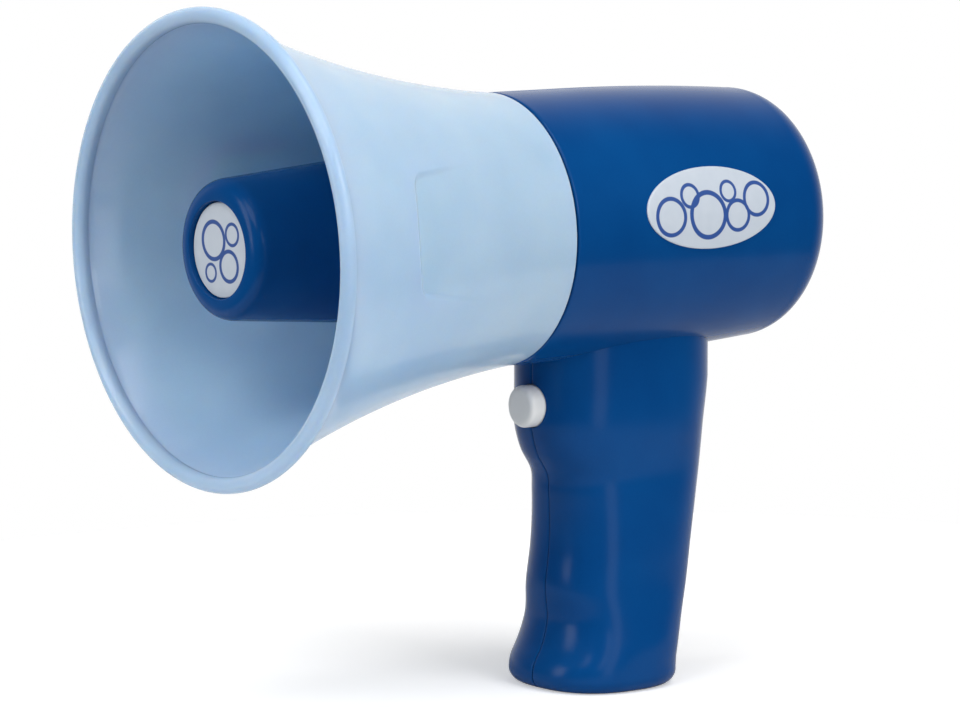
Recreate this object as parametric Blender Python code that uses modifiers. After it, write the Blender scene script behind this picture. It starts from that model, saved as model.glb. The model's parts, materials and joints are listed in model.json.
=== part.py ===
"""A toy bubble megaphone: a flared horn and nose cone on a barrel with a pistol grip, and the drive inside.

Metres, +Z up. The bell faces -Y, the left side is +X, and the origin is the middle of the grip's base.
Sizes are named in millimetres and turned to metres where a mesh is made. Pieces on the barrel's axis are
drawn by their radius and by their station, the distance behind the joint of horn and barrel.
"""

import math

import bmesh
import bpy
import numpy as np
from mathutils import Matrix, Vector

MM = 0.001
GAP = 0.3

# Layout
AXIS_HEIGHT = 146.7
JOINT_Y = -38.7
WALL = 2.4
ROUND_STEPS = 32
EDGE_CHAMFER = 0.7
EASY_FIT = 0.4

# Horn: the radius grows with t, the share of the way from the joint to the rim
BELL_LENGTH = 106.5
THROAT_RADIUS = 42.5
BELL_FLARE = ((9.4, 1), (17.7, 2), (2.9, 30))
HORN_WALL = 1.1
RIM_RADIUS = 72.5
BEAD_RADIUS = 2.5
SPIGOT_RADIUS = 39.6
SPIGOT_WALL = 1.4
SPIGOT_END = 6.2
PEG_RADIUS = 1.0
PEG_STATION = 4.0
PEG_REACH = 41.0
PEG_TURNS = (60, 180, 300)
PEG_SLOT_ROOM = 0.5
BAYONET_TWIST = 30
THROAT_STEP = -1.5

# Nose cone
CONE_BACK = 6.0
CONE_BACK_RADIUS = 30.0
CONE_SHOULDER = -97.0
CONE_SHOULDER_RADIUS = 21.6
CONE_FRONT = -104.0
CONE_WALL = 1.1
CONE_STEPS = 28
NOSE_ROUND = 6.6
NOSE_INSIDE = (19.0, -98.6)
CONE_FRONT_INSIDE = -100.0
LABEL_SEAT = -101.6
LABEL_RADIUS = 14.3
LABEL_THICKNESS = 0.5
LABEL_BEVEL = 0.2
LABEL_LIP = 0.9
CONE_SCREW_SEAT = -99.4
CONE_SCREW_END = -86.0
CONE_SCREW_HEAD = 1.3
SCREW_HEAD_HOLE = 3.5
SCREW_SHANK_HOLE = 1.7
SOCKET_FLOOR = -97.8
SOCKET_MOUTH = -90.0
SOCKET_WALL = 1.4

# Barrel
BARREL_BACK = 108.5
BARREL_ROUND = 13.0
BARREL_BACK_RADIUS = 40.0
TAPER_START = 30.0
VENT_HEIGHTS = (-18, -9, 0, 9, 18)
VENT_HALF_HEIGHT = 1.7
VENT_REACH = 27.0
VENT_INNER_END = 3.0
BRACKET_STOP_RADIUS = 36.6
CHASSIS_STOP_RADIUS = 37.4
STOP_WIDTH = 1.2
SIDE_LABEL_STATION = 53.8
SIDE_LABEL_RISE = 6.7
SIDE_LABEL_HALF = (26.5, 12.6)

# Grip sections, top to base: height, front edge, back edge, half width
GRIP_SECTIONS = (
    (116.0, -23.3, 41.3, 23.1),
    (97.0, -23.3, 41.2, 23.1),
    (81.0, -23.0, 39.4, 22.4),
    (75.0, -21.1, 39.0, 21.6),
    (68.0, -17.0, 38.2, 20.9),
    (62.0, -16.5, 37.2, 21.0),
    (44.0, -16.5, 34.0, 21.7),
    (32.0, -17.8, 31.9, 22.4),
    (21.0, -17.1, 28.6, 24.0),
    (13.0, -19.5, 26.7, 25.2),
    (8.0, -22.3, 26.0, 25.4),
    (0.0, -23.2, 25.9, 25.4),
)
GRIP_ROUNDNESS = 2.5
GRIP_POINTS = 24
FOOT_ROUND = 4.6
FOOT_FLOOR = 4.2

# Drive train
CHASSIS_BACK = 23.5
CHASSIS_THICKNESS = 2.0
CHASSIS_RADIUS = 39.7
POST_RADIUS = 5.0
POST_TIP = -97.5
POST_BORE = 2.6
POST_SCREW_DEPTH = -82.0
THREAD_RADIUS = 3.9
THREAD_LENGTH = 3.6
COLLAR_RADIUS = 7.5
COLLAR_THICKNESS = 1.3
NUT_RADIUS = 7.0
CLIP_RADIUS = 7.6
CLIP_FRONT = 10.2
CLIP_THICKNESS = 1.0
CLIP_OPENING = 60
RUNNING_FIT = 0.35
GEAR_MODULE = 1.0
PINION_TEETH = 10
GEAR_TEETH = 30
LAY_RISE = GEAR_MODULE * (PINION_TEETH + GEAR_TEETH) / 2
PRESSURE_ANGLE = math.radians(25)
TOOTH_REACH = 0.8
TOOTH_ROOT = 1.1
BACKLASH = 0.22
WHEEL_FRONT = 11.8
WHEEL_THICKNESS = 2.4
WHEEL_RADIUS = 29.8
LOOP_COUNT = 10
LOOP_CIRCLE = 33.2
LOOP_RADIUS = 4.8
LOOP_BORE = 3.7
WHEEL_GEAR_FRONT = 15.0
GEAR_WIDTH = 4.6
LAY_GEAR_FRONT = 48.6
LAY_SHAFT_RADIUS = 1.2
BRACKET_FRONT = 55.0
BRACKET_THICKNESS = 2.2
BRACKET_RADIUS = 39.0
WINDOW_INNER = 24.5
CHASSIS_WINDOWS = (6, 22, 36.0)
BRACKET_WINDOWS = (4, 33, 35.0)
MOTOR_FRONT = 57.5
MOTOR_BACK = 80.0
MOTOR_RADIUS = 10.0
MOTOR_SHAFT_RADIUS = 1.0
MOTOR_STEPS = 20
MOTOR_BOSS_RADIUS = 3.0
END_CAP_THICKNESS = 2.4
END_CAP_BOSS = 1.6
SLEEVE_WALL = 1.6
SLEEVE_BACK = 70.0
FAN_FRONT = 87.0
FAN_BACK = 99.0
FAN_RADIUS = 35.0
FAN_HUB = 9.0
FAN_BLADES = 6
BLADE_CHORD = 11.5
BLADE_THICKNESS = 1.3
BLADE_PITCH = math.radians(42)
BLADE_ROOT = 2.0

# Solution trough
TROUGH_FRONT = 7.8
TROUGH_BACK = 19.4
TROUGH_RADIUS = 39.7
TROUGH_LIP = 31.5
TROUGH_WALL = 1.2
TROUGH_TOP = -20.0

# Trigger and switch
TRIGGER_HEIGHT = 90.3
TRIGGER_FACE_Y = -28.0
TRIGGER_RADIUS = 6.65
TRIGGER_EDGE = 1.7
TRIGGER_DOME = 0.25
TRIGGER_FLANGE = 9.0
TRIGGER_FLANGE_RADIUS = 8.4
TRIGGER_FLANGE_THICKNESS = 1.5
TRIGGER_STEM_RADIUS = 2.2
TRIGGER_STEM_END = 19.0
STEM_HOLE_RADIUS = 2.8
TRIGGER_SPRING_RADIUS = 4.6
TRIGGER_SPRING_WIRE = 0.5
SPRING_END_ROOM = 0.9
PLUNGER_RADIUS = 1.3
PLUNGER_LENGTH = 5.1
PLUNGER_TRAVEL_ROOM = 4.0
SEAT_RIB_Y = -9.0
SWITCH_FRONT_Y = -5.6
SWITCH_BACK_Y = 6.0
SWITCH_HALF_WIDTH = 5.0
SWITCH_HALF_HEIGHT = 4.0
RIB_THICKNESS = 1.6
SEAT_RIB = (18.8, 82.0, 99.0)
BACKSTOP_RIB = (21.4, 84.0, 97.0)
BATTERY_STOP_RIB = (8.0, 19.6, -2.0, 4.0, 62.2, 63.8)

# Battery compartment: three AA cells upright in the grip
CELL_RADIUS = 7.1
CELL_BOTTOM = 9.0
CELL_LENGTH = 50.0
CELL_NUB = 1.0
NUB_RADIUS = 2.7
CELL_CIRCLE = 8.9
HOLDER_WALL = 1.4
HOLDER_Y = 4.5
HOLDER_BOTTOM = 10.0
HOLDER_TOP = 57.0
CONTACT_HEIGHT = 59.3
CONTACT_THICKNESS = 0.4
CONTACT_RADIUS = 4.5
BOARD_THICKNESS = 1.8
STRIP_X = -17.4
STRIP_FOOT_X = -12.5
STRIP_BOTTOM = 4.4
STRIP_TOP = 61.5
STRIP_THICKNESS = 0.5
STRIP_HALF_WIDTH = 2.0
DOOR_CENTRE_Y = 1.3
DOOR_HALF = (17.0, 17.2)
DOOR_POINTS = 28
DOOR_THICKNESS = 3.0
HINGE_Y = 18.2
HINGE_HEIGHT = 2.0
HINGE_RADIUS = 1.85
HINGE_HALF_LENGTH = 8.0
HINGE_CLEARANCE = 1.3
HINGE_PIN_RADIUS = 0.75
HINGE_PIN_HALF_LENGTH = 15.5
HINGE_END_ROOM = 4.5
DOOR_SCREW = (9.5, -9.5)
DOOR_SCREW_PROFILE = ((0, 7.0), (1.3, 6.2), (1.3, 1.7), (2.5, 1.7), (2.5, 0.4), (0, 0.4))
DOOR_SCREW_SEAT = 2.0
DOOR_SCREW_HEAD_HOLE = 2.9
DOOR_SCREW_SHANK_HOLE = 1.6
DOOR_BOSS = (3.4, 4.8, 9.4)
DOOR_BOSS_HOLE = (1.9, 3.8, 8.6)
DOOR_WEB_REACH = 22.4
DOOR_WEB_HALF = 2.0
BRIDGE_RADIUS = 5.2
BRIDGE_BUTTON_RADIUS = 2.4
DOOR_TERMINAL_RADIUS = 3.0
DOOR_TERMINAL_REACH = 5.5
DOOR_SPRING_WIRE = 0.35
DOOR_SPRING_ROOM = 0.7
DOOR_SPRINGS = {1: (4.0, 2.6), 2: (2.6, 2.2)}

# Wires
WIRE_RADIUS = 0.7
WIRE_HOLE = 1.4
WIRE_WAY_STATION = 66.0
WIRE_WAY_RADIUS = 3.2

# Shell screws: station and rise on the barrel, then Y and height in the grip, each with its bosses' reach
BARREL_SCREWS = ((36.0, 32.0, 20.4), (72.0, 32.0, 18.6), (30.0, -32.0, 20.4), (78.0, -32.0, 17.9))
GRIP_SCREWS = ((26.0, 82.0, 17.2), (-7.5, 70.0, 13.6))
SCREW_HEAD_RADIUS = 2.9
SCREW_HEAD_HEIGHT = 2.2
SCREW_SHANK_RADIUS = 1.4
SCREW_SEAT = 7.0
SCREW_REACH = 8.5
SCREW_POINT = 2.0
BOSS_RADIUS = 3.6
WELL_RADIUS = 4.6

# Finishes: sRGB colour, roughness, metallic
PALE_BLUE = ("B0C8E0", 0.25, 0.0)
DEEP_BLUE = ("0E3F80", 0.35, 0.0)
WHITE_PLASTIC = ("E6E8E8", 0.35, 0.0)
PALE_LABEL = ("D4D8DC", 0.45, 0.0)
BLACK_PLASTIC = ("1E2022", 0.5, 0.0)
GEAR_NYLON = ("EDE6CF", 0.45, 0.0)
STEEL = ("B8BABC", 0.3, 1.0)
MOTOR_STEEL = ("A6A8AA", 0.35, 1.0)
CELL_JACKET = ("3A3D42", 0.4, 0.2)
SPRING_STEEL = ("C4C6C8", 0.25, 1.0)
RED_WIRE = ("B02A22", 0.45, 0.0)
YELLOW_WIRE = ("D0A81E", 0.45, 0.0)
BLACK_WIRE = ("202224", 0.45, 0.0)


def collection(name):
    made = bpy.data.collections.new(name)
    bpy.context.scene.collection.children.link(made)
    return made


for leftover in list(bpy.data.objects):
    bpy.data.objects.remove(leftover, do_unlink=True)
PARTS = collection("bubble_megaphone")
CUTTERS = collection("cutters")


def anchor(name, x, y, z):
    """An empty that pieces hang on: a joint's axis, or a place that several pieces share."""
    made = bpy.data.objects.new(name, None)
    made.location = (x * MM, y * MM, z * MM)
    made.empty_display_size = 0.01
    PARTS.objects.link(made)
    return made


def paint(obj, finish):
    colour, roughness, metallic = finish
    srgb = np.array([int(colour[i : i + 2], 16) for i in (0, 2, 4)]) / 255
    linear = np.where(srgb > 0.04045, ((srgb + 0.055) / 1.055) ** 2.4, srgb / 12.92)
    made = bpy.data.materials.new(obj.name)
    made.use_nodes = True
    shader = made.node_tree.nodes["Principled BSDF"]
    shader.inputs["Base Color"].default_value = (*linear, 1.0)
    shader.inputs["Roughness"].default_value = roughness
    shader.inputs["Metallic"].default_value = metallic
    obj.data.materials.append(made)


def place(name, data, on, finish):
    """Hangs a piece on its anchor. A piece with no finish is a cutter."""
    obj = bpy.data.objects.new(name, data)
    obj.parent = on
    if finish is None:
        CUTTERS.objects.link(obj)
        obj.hide_render = True
        obj.display_type = "WIRE"
    else:
        PARTS.objects.link(obj)
        paint(obj, finish)
    return obj


def turned(name, profile, on, finish=None, steps=ROUND_STEPS):
    """A profile of (radius, station), its outer side first from back to front, turned about Y."""
    points = [(radius * MM, station * MM, 0.0) for radius, station in profile]
    links = [(i, i + 1) for i in range(len(points) - 1)]
    if profile[0][0] > 0:
        links.append((len(points) - 1, 0))
    mesh = bpy.data.meshes.new(name)
    mesh.from_pydata(points, links, [])
    obj = place(name, mesh, on, finish)
    screw = obj.modifiers.new("turn", "SCREW")
    screw.axis = "Y"
    screw.steps = screw.render_steps = steps
    screw.use_merge_vertices = True
    screw.merge_threshold = 0.00001
    screw.use_smooth_shade = True
    return obj


# How an outline's two coordinates and its depth lie in space, by the axis it is extruded along
OUTLINE_FRAMES = {
    "X": Matrix(((0, 0, 1, 0), (1, 0, 0, 0), (0, 1, 0, 0), (0, 0, 0, 1))),
    "Y": Matrix(((1, 0, 0, 0), (0, 0, -1, 0), (0, 1, 0, 0), (0, 0, 0, 1))),
    "Z": Matrix.Identity(4),
}


def extruded(name, outlines, axis, low, high, on, finish=None):
    """Closed outlines, filled with those inside them as holes, extruded along an axis from low to high.

    An outline along X is drawn in Y and Z, one along Y in X and Z, and one along Z in X and Y.
    """
    curve = bpy.data.curves.new(name, "CURVE")
    curve.dimensions = "2D"
    curve.fill_mode = "BOTH"
    curve.extrude = (high - low) / 2 * MM
    for outline in outlines:
        spline = curve.splines.new("POLY")
        spline.points.add(len(outline) - 1)
        for point, (across, up) in zip(spline.points, outline):
            point.co = (across * MM, up * MM, 0.0, 1.0)
        spline.use_cyclic_u = True
    obj = place(name, curve, on, finish)
    middle = {"XYZ"[i]: Vector([(low + high) / 2 * MM * (i == k) for k in range(3)]) for i in range(3)}
    obj.matrix_local = Matrix.Translation(middle[axis]) @ OUTLINE_FRAMES[axis]
    return obj


def as_mesh(obj):
    """Turns a curve piece into a mesh with its caps welded, so that it can be cut or joined."""
    graph = bpy.context.evaluated_depsgraph_get()
    mesh = bpy.data.meshes.new_from_object(obj.evaluated_get(graph))
    shape = bmesh.new()
    shape.from_mesh(mesh)
    bmesh.ops.remove_doubles(shape, verts=shape.verts, dist=0.000001)
    shape.to_mesh(mesh)
    shape.free()
    name, on, where = obj.name, obj.parent, obj.matrix_local.copy()
    group = obj.users_collection[0]
    made = bpy.data.objects.new(name + "_mesh", mesh)
    made.parent = on
    made.matrix_local = where
    made.hide_render = obj.hide_render
    made.display_type = obj.display_type
    group.objects.link(made)
    bpy.data.objects.remove(obj, do_unlink=True)
    made.name = name
    return made


def blocks(name, on, finish=None, rods=(), boxes=(), sides=12):
    """Closed cylinders (start, end, radius) and boxes (low corner, high corner) in one mesh."""
    shape = bmesh.new()
    for start, end, radius in rods:
        along = Vector(end) - Vector(start)
        middle = Matrix.Translation((Vector(start) + Vector(end)) / 2 * MM)
        turn = along.to_track_quat("Z", "Y").to_matrix().to_4x4()
        bmesh.ops.create_cone(
            shape,
            cap_ends=True,
            segments=sides,
            radius1=radius * MM,
            radius2=radius * MM,
            depth=along.length * MM,
            matrix=middle @ turn,
        )
    for low, high in boxes:
        size = (Vector(high) - Vector(low)) * MM
        middle = Matrix.Translation((Vector(low) + Vector(high)) / 2 * MM)
        bmesh.ops.create_cube(shape, size=1.0, matrix=middle @ Matrix.Diagonal((*size, 1.0)))
    mesh = bpy.data.meshes.new(name)
    shape.to_mesh(mesh)
    shape.free()
    return place(name, mesh, on, finish)


def combine(target, tool, operation):
    modifier = target.modifiers.new(tool.name, "BOOLEAN")
    modifier.operation = operation
    modifier.object = tool


def cut(target, tool):
    combine(target, tool, "DIFFERENCE")


def fuse(target, tool):
    combine(target, tool, "UNION")


def keep(target, tool):
    combine(target, tool, "INTERSECT")


def circle(radius, points, centre=(0.0, 0.0)):
    turns = np.arange(points) * 2 * math.pi / points
    return [(centre[0] + radius * math.cos(a), centre[1] + radius * math.sin(a)) for a in turns]


def rounded_hull(centres, radius, points=6):
    """The outline round equal circles at these centres, given anticlockwise, as a belt lies round pulleys."""
    outline = []
    for i, here in enumerate(centres):
        before = centres[i - 1]
        after = centres[(i + 1) % len(centres)]
        first = math.atan2(here[1] - before[1], here[0] - before[0]) - math.pi / 2
        last = math.atan2(after[1] - here[1], after[0] - here[0]) - math.pi / 2
        sweep = (last - first) % (2 * math.pi)
        for k in range(points + 1):
            turn = first + sweep * k / points
            outline.append((here[0] + radius * math.cos(turn), here[1] + radius * math.sin(turn)))
    return outline


def superellipse(half_x, half_y, centre_y, points, power=GRIP_ROUNDNESS):
    turns = np.arange(points) * 2 * math.pi / points
    across = np.sign(np.cos(turns)) * np.abs(np.cos(turns)) ** (2 / power)
    along = np.sign(np.sin(turns)) * np.abs(np.sin(turns)) ** (2 / power)
    return np.stack([half_x * across, centre_y + half_y * along], axis=1)


def coil(name, start, end, radii, turns, wire, on, finish):
    """A helical spring between two points on its axis, its radius going evenly from first to last."""
    start = Vector(start)
    axis = Vector(end) - start
    side = axis.orthogonal().normalized()
    other = axis.normalized().cross(side)
    per_turn = 8
    count = int(turns * per_turn)
    curve = bpy.data.curves.new(name, "CURVE")
    curve.dimensions = "3D"
    curve.bevel_depth = wire * MM
    curve.bevel_resolution = 2
    curve.use_fill_caps = True
    spline = curve.splines.new("POLY")
    spline.points.add(count)
    for i, point in enumerate(spline.points):
        share = i / count
        turn = 2 * math.pi * i / per_turn
        radius = radii[0] + (radii[1] - radii[0]) * share
        out = side * math.cos(turn) + other * math.sin(turn)
        point.co = ((start + axis * share + out * radius) * MM).to_4d()
    return place(name, curve, on, finish)


def wire(name, route, radius, on, finish):
    """A wire on a smooth curve through its route's points."""
    knots = np.array(route, float)
    shares = np.linspace(0, len(knots) - 1, 2 * (len(knots) - 1) + 1)
    points = through(np.arange(len(knots)), knots, shares)
    curve = bpy.data.curves.new(name, "CURVE")
    curve.dimensions = "3D"
    curve.bevel_depth = radius * MM
    curve.bevel_resolution = 2
    curve.use_fill_caps = True
    spline = curve.splines.new("POLY")
    spline.points.add(len(points) - 1)
    for point, place_at in zip(spline.points, points):
        point.co = (*(place_at * MM), 1.0)
    return place(name, curve, on, finish)


def through(knots, values, where):
    """A smooth curve through the values at rising knots, with each slope taken from the two neighbours."""
    knots = np.asarray(knots, float)
    values = np.asarray(values, float)
    slopes = np.gradient(values, knots, axis=0)
    i = np.clip(np.searchsorted(knots, where) - 1, 0, len(knots) - 2)
    width = knots[i + 1] - knots[i]
    share = (where - knots[i]) / width
    shape = (-1,) + (1,) * (values.ndim - 1)
    share = share.reshape(shape)
    width = width.reshape(shape)
    return (
        (1 + 2 * share) * (1 - share) ** 2 * values[i]
        + share * (1 - share) ** 2 * width * slopes[i]
        + share**2 * (3 - 2 * share) * values[i + 1]
        + share**2 * (share - 1) * width * slopes[i + 1]
    )


def bell_radius(station):
    share = -station / BELL_LENGTH
    return THROAT_RADIUS + sum(size * share**power for size, power in BELL_FLARE)


def barrel_radius(station):
    share = max(0.0, station - TAPER_START) / (BARREL_BACK - BARREL_ROUND - TAPER_START)
    return THROAT_RADIUS - (THROAT_RADIUS - BARREL_BACK_RADIUS) * share**2


def arc(centre, radius, first, last, points):
    """Points on an arc in the (radius, station) plane, from and to these angles in degrees."""
    turns = np.radians(np.linspace(first, last, points))
    return [(centre[0] + radius * math.cos(a), centre[1] + radius * math.sin(a)) for a in turns]


def on_barrel(station, rise):
    """A place on the barrel's axis plane, as Y and Z in the part's frame."""
    return JOINT_Y + station, AXIS_HEIGHT + rise


BASE = anchor("grip_base", 0, 0, 0)
BARREL_AXIS = anchor("barrel_axis", 0, JOINT_Y, AXIS_HEIGHT)
HORN_AXIS = anchor("horn_axis", 0, JOINT_Y, AXIS_HEIGHT)
WHEEL_AXIS = anchor("wheel_axis", 0, JOINT_Y, AXIS_HEIGHT)
MOTOR_AXIS = anchor("motor_axis", 0, JOINT_Y, AXIS_HEIGHT)
LAY_AXIS = anchor("lay_axis", 0, JOINT_Y, AXIS_HEIGHT + LAY_RISE)
TRIGGER_AXIS = anchor("trigger_axis", 0, TRIGGER_FACE_Y, TRIGGER_HEIGHT)
DOOR_HINGE = anchor("door_hinge", 0, HINGE_Y, HINGE_HEIGHT)


def make_horn():
    """The flared bell with a rolled bead at its rim, and a bayonet spigot that goes into the barrel."""
    outer = [-1.0, -18.0, -36.0, -53.0, -68.0, -81.0, -92.0, -100.0, -104.2]
    inner = [-103.2, -99.0, -88.0, -72.0, -54.0, -34.0, -4.0]
    bead = (RIM_RADIUS - BEAD_RADIUS, -BELL_LENGTH)
    profile = [(SPIGOT_RADIUS, SPIGOT_END), (SPIGOT_RADIUS, -GAP), (THROAT_RADIUS - EDGE_CHAMFER, -GAP)]
    profile += [(bell_radius(s), s) for s in outer]
    profile += arc(bead, BEAD_RADIUS, 45, -200, 7)
    profile += [(bell_radius(s) - HORN_WALL, s) for s in inner]
    bore = SPIGOT_RADIUS - SPIGOT_WALL
    profile += [(bore, THROAT_STEP), (bore, SPIGOT_END)]
    horn = turned("horn", profile, HORN_AXIS, PALE_BLUE)
    pegs = []
    for degrees in PEG_TURNS:
        out = Vector((math.cos(math.radians(degrees)), 0, math.sin(math.radians(degrees))))
        station = Vector((0, PEG_STATION, 0))
        root = out * (SPIGOT_RADIUS - SPIGOT_WALL / 2) + station
        pegs.append((root, out * PEG_REACH + station, PEG_RADIUS))
    fuse(horn, blocks("bayonet_pegs", HORN_AXIS, rods=pegs, sides=8))


def make_nose_cone():
    """The hollow cone, with a socket for the post behind its front and a sunk seat for its label."""
    slope = (CONE_BACK_RADIUS - CONE_SHOULDER_RADIUS) / (CONE_BACK - CONE_SHOULDER)
    seat = LABEL_RADIUS + EASY_FIT
    profile = [(CONE_BACK_RADIUS, CONE_BACK)]
    profile += [(CONE_SHOULDER_RADIUS, CONE_SHOULDER)]
    profile += arc((CONE_SHOULDER_RADIUS - NOSE_ROUND, CONE_FRONT + NOSE_ROUND), NOSE_ROUND, -25, -90, 4)
    profile += [(seat, CONE_FRONT + LABEL_LIP), (seat, LABEL_SEAT)]
    profile += [(SCREW_HEAD_HOLE, LABEL_SEAT), (SCREW_HEAD_HOLE, CONE_SCREW_SEAT)]
    profile += [(SCREW_SHANK_HOLE, CONE_SCREW_SEAT), (SCREW_SHANK_HOLE, SOCKET_FLOOR)]
    socket = POST_RADIUS + EASY_FIT
    profile += [(socket, SOCKET_FLOOR), (socket, SOCKET_MOUTH), (socket + SOCKET_WALL, SOCKET_MOUTH)]
    profile += [(socket + SOCKET_WALL, CONE_FRONT_INSIDE), (LABEL_RADIUS, CONE_FRONT_INSIDE), NOSE_INSIDE]
    profile += [(CONE_SHOULDER_RADIUS + slope * 3 - CONE_WALL, CONE_SHOULDER + 3)]
    profile += [(CONE_BACK_RADIUS - CONE_WALL, CONE_BACK)]
    turned("nose_cone", profile, BARREL_AXIS, DEEP_BLUE, steps=CONE_STEPS)
    back = LABEL_SEAT - GAP
    front = back - LABEL_THICKNESS
    disc = [(0, back), (LABEL_RADIUS, back), (LABEL_RADIUS, front + LABEL_BEVEL)]
    disc += [(LABEL_RADIUS - LABEL_BEVEL, front), (0, front)]
    turned("cone_label", disc, BARREL_AXIS, PALE_LABEL, steps=CONE_STEPS)
    seat = CONE_SCREW_SEAT - GAP
    top = seat - CONE_SCREW_HEAD
    screw = [(0, CONE_SCREW_END), (SCREW_SHANK_RADIUS, CONE_SCREW_END - 1.2), (SCREW_SHANK_RADIUS, seat)]
    screw += [(SCREW_HEAD_RADIUS, seat), (SCREW_HEAD_RADIUS, top), (0, top)]
    turned("cone_screw", screw, BARREL_AXIS, STEEL, steps=10)


def make_post():
    """The tube that carries the wheel and the cone, clamped to the chassis by a collar and a nut."""
    collar = CHASSIS_BACK - CHASSIS_THICKNESS - GAP
    shoulder = collar - COLLAR_THICKNESS
    end = CHASSIS_BACK + THREAD_LENGTH
    profile = [(THREAD_RADIUS, end), (THREAD_RADIUS, collar), (COLLAR_RADIUS, collar)]
    profile += [(COLLAR_RADIUS, shoulder), (POST_RADIUS, shoulder), (POST_RADIUS, POST_TIP)]
    profile += [(SCREW_SHANK_HOLE, POST_TIP), (SCREW_SHANK_HOLE, POST_SCREW_DEPTH)]
    profile += [(POST_BORE, POST_SCREW_DEPTH + 1), (POST_BORE, end)]
    turned("centre_post", profile, BARREL_AXIS, WHITE_PLASTIC, steps=16)
    nut = [circle(NUT_RADIUS, 6), circle(THREAD_RADIUS + GAP, 12)]
    extruded("post_nut", nut, "Y", CHASSIS_BACK + GAP, end - 2 * GAP, BARREL_AXIS, STEEL)
    turns = (-CLIP_OPENING, 180 + CLIP_OPENING)
    clip = arc((0, 0), CLIP_RADIUS, *turns, 15) + arc((0, 0), POST_RADIUS + GAP, *turns[::-1], 15)
    extruded("wheel_clip", [clip], "Y", CLIP_FRONT, CLIP_FRONT + CLIP_THICKNESS, BARREL_AXIS, STEEL)


def windowed_plate(name, radius, holes, windows, low, high):
    """A round plate across the barrel, with round holes (radius, x, z) and equal sector windows round it."""
    outlines = [circle(radius, 26)]
    outlines += [circle(size, 10, (x, z)) for size, x, z in holes]
    count, half, outer = windows
    for middle in np.arange(count) * 360 / count:
        rim = arc((0, 0), outer, middle - half, middle + half, 6)
        hub = arc((0, 0), WINDOW_INNER, middle + half, middle - half, 6)
        outlines.append(rim + hub)
    return extruded(name, outlines, "Y", low, high, BARREL_AXIS, BLACK_PLASTIC)


def make_frames():
    """The two plates that hold the drive across the barrel, and the motor's sleeve on the rear one."""
    lay_hole = (LAY_SHAFT_RADIUS + RUNNING_FIT, 0, LAY_RISE)
    holes = [(THREAD_RADIUS + GAP, 0, 0), lay_hole]
    front = CHASSIS_BACK - CHASSIS_THICKNESS
    windowed_plate("drive_chassis", CHASSIS_RADIUS, holes, CHASSIS_WINDOWS, front, CHASSIS_BACK)
    holes = [(MOTOR_BOSS_RADIUS + EASY_FIT, 0, 0), lay_hole]
    back = BRACKET_FRONT + BRACKET_THICKNESS
    plate = windowed_plate("motor_bracket", BRACKET_RADIUS, holes, BRACKET_WINDOWS, BRACKET_FRONT, back)
    plate = as_mesh(plate)
    bore = MOTOR_RADIUS + EASY_FIT
    outside = bore + SLEEVE_WALL
    root = back - BRACKET_THICKNESS / 2
    sleeve = [(outside, SLEEVE_BACK), (outside, root), (bore, root), (bore, SLEEVE_BACK)]
    fuse(plate, turned("motor_sleeve", sleeve, BARREL_AXIS, steps=MOTOR_STEPS))


def gear_outline(teeth, first_tooth):
    """Stub involute teeth, slimmed for backlash, with one tooth centred at this angle in degrees."""
    pitch = GEAR_MODULE * teeth / 2
    base = pitch * math.cos(PRESSURE_ANGLE)
    half_at_pitch = math.pi / (2 * teeth) - BACKLASH * GEAR_MODULE / (4 * pitch)

    def involute(radius):
        angle = math.acos(min(1.0, base / radius))
        return math.tan(angle) - angle

    def half_width(radius):
        return half_at_pitch + involute(pitch) - involute(radius)

    radii = (pitch - TOOTH_ROOT * GEAR_MODULE, pitch, pitch + TOOTH_REACH * GEAR_MODULE)
    outline = []
    for tooth in range(teeth):
        centre = math.radians(first_tooth) + 2 * math.pi * tooth / teeth
        flank = [(radius, half_width(radius)) for radius in radii]
        for radius, half in [(r, -h) for r, h in flank] + flank[::-1]:
            outline.append((radius * math.cos(centre + half), radius * math.sin(centre + half)))
    return outline


def make_gears():
    """Two equal stages: motor pinion to lay gear, then lay pinion to wheel gear on the barrel's axis."""
    half_pitch = 180 / GEAR_TEETH
    lay_bore = circle(LAY_SHAFT_RADIUS + GAP, 10)
    front = LAY_GEAR_FRONT
    pinion = [gear_outline(PINION_TEETH, 90), circle(MOTOR_SHAFT_RADIUS + GAP, 10)]
    extruded("motor_pinion", pinion, "Y", front - 0.4, front + GEAR_WIDTH + 0.4, MOTOR_AXIS, GEAR_NYLON)
    gear = [gear_outline(GEAR_TEETH, -90 + half_pitch), lay_bore]
    extruded("lay_gear", gear, "Y", front, front + GEAR_WIDTH, LAY_AXIS, GEAR_NYLON)
    front = WHEEL_GEAR_FRONT
    pinion = [gear_outline(PINION_TEETH, -90), lay_bore]
    extruded("lay_pinion", pinion, "Y", front - 0.3, front + GEAR_WIDTH + 0.4, LAY_AXIS, GEAR_NYLON)
    gear = [gear_outline(GEAR_TEETH, 90 + half_pitch), circle(POST_RADIUS + RUNNING_FIT, 16)]
    extruded("wheel_gear", gear, "Y", front, front + GEAR_WIDTH, WHEEL_AXIS, GEAR_NYLON)
    rod = ((0, WHEEL_GEAR_FRONT - 0.4, 0), (0, BRACKET_FRONT + BRACKET_THICKNESS, 0), LAY_SHAFT_RADIUS)
    blocks("lay_shaft", LAY_AXIS, STEEL, rods=[rod], sides=10)


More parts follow.
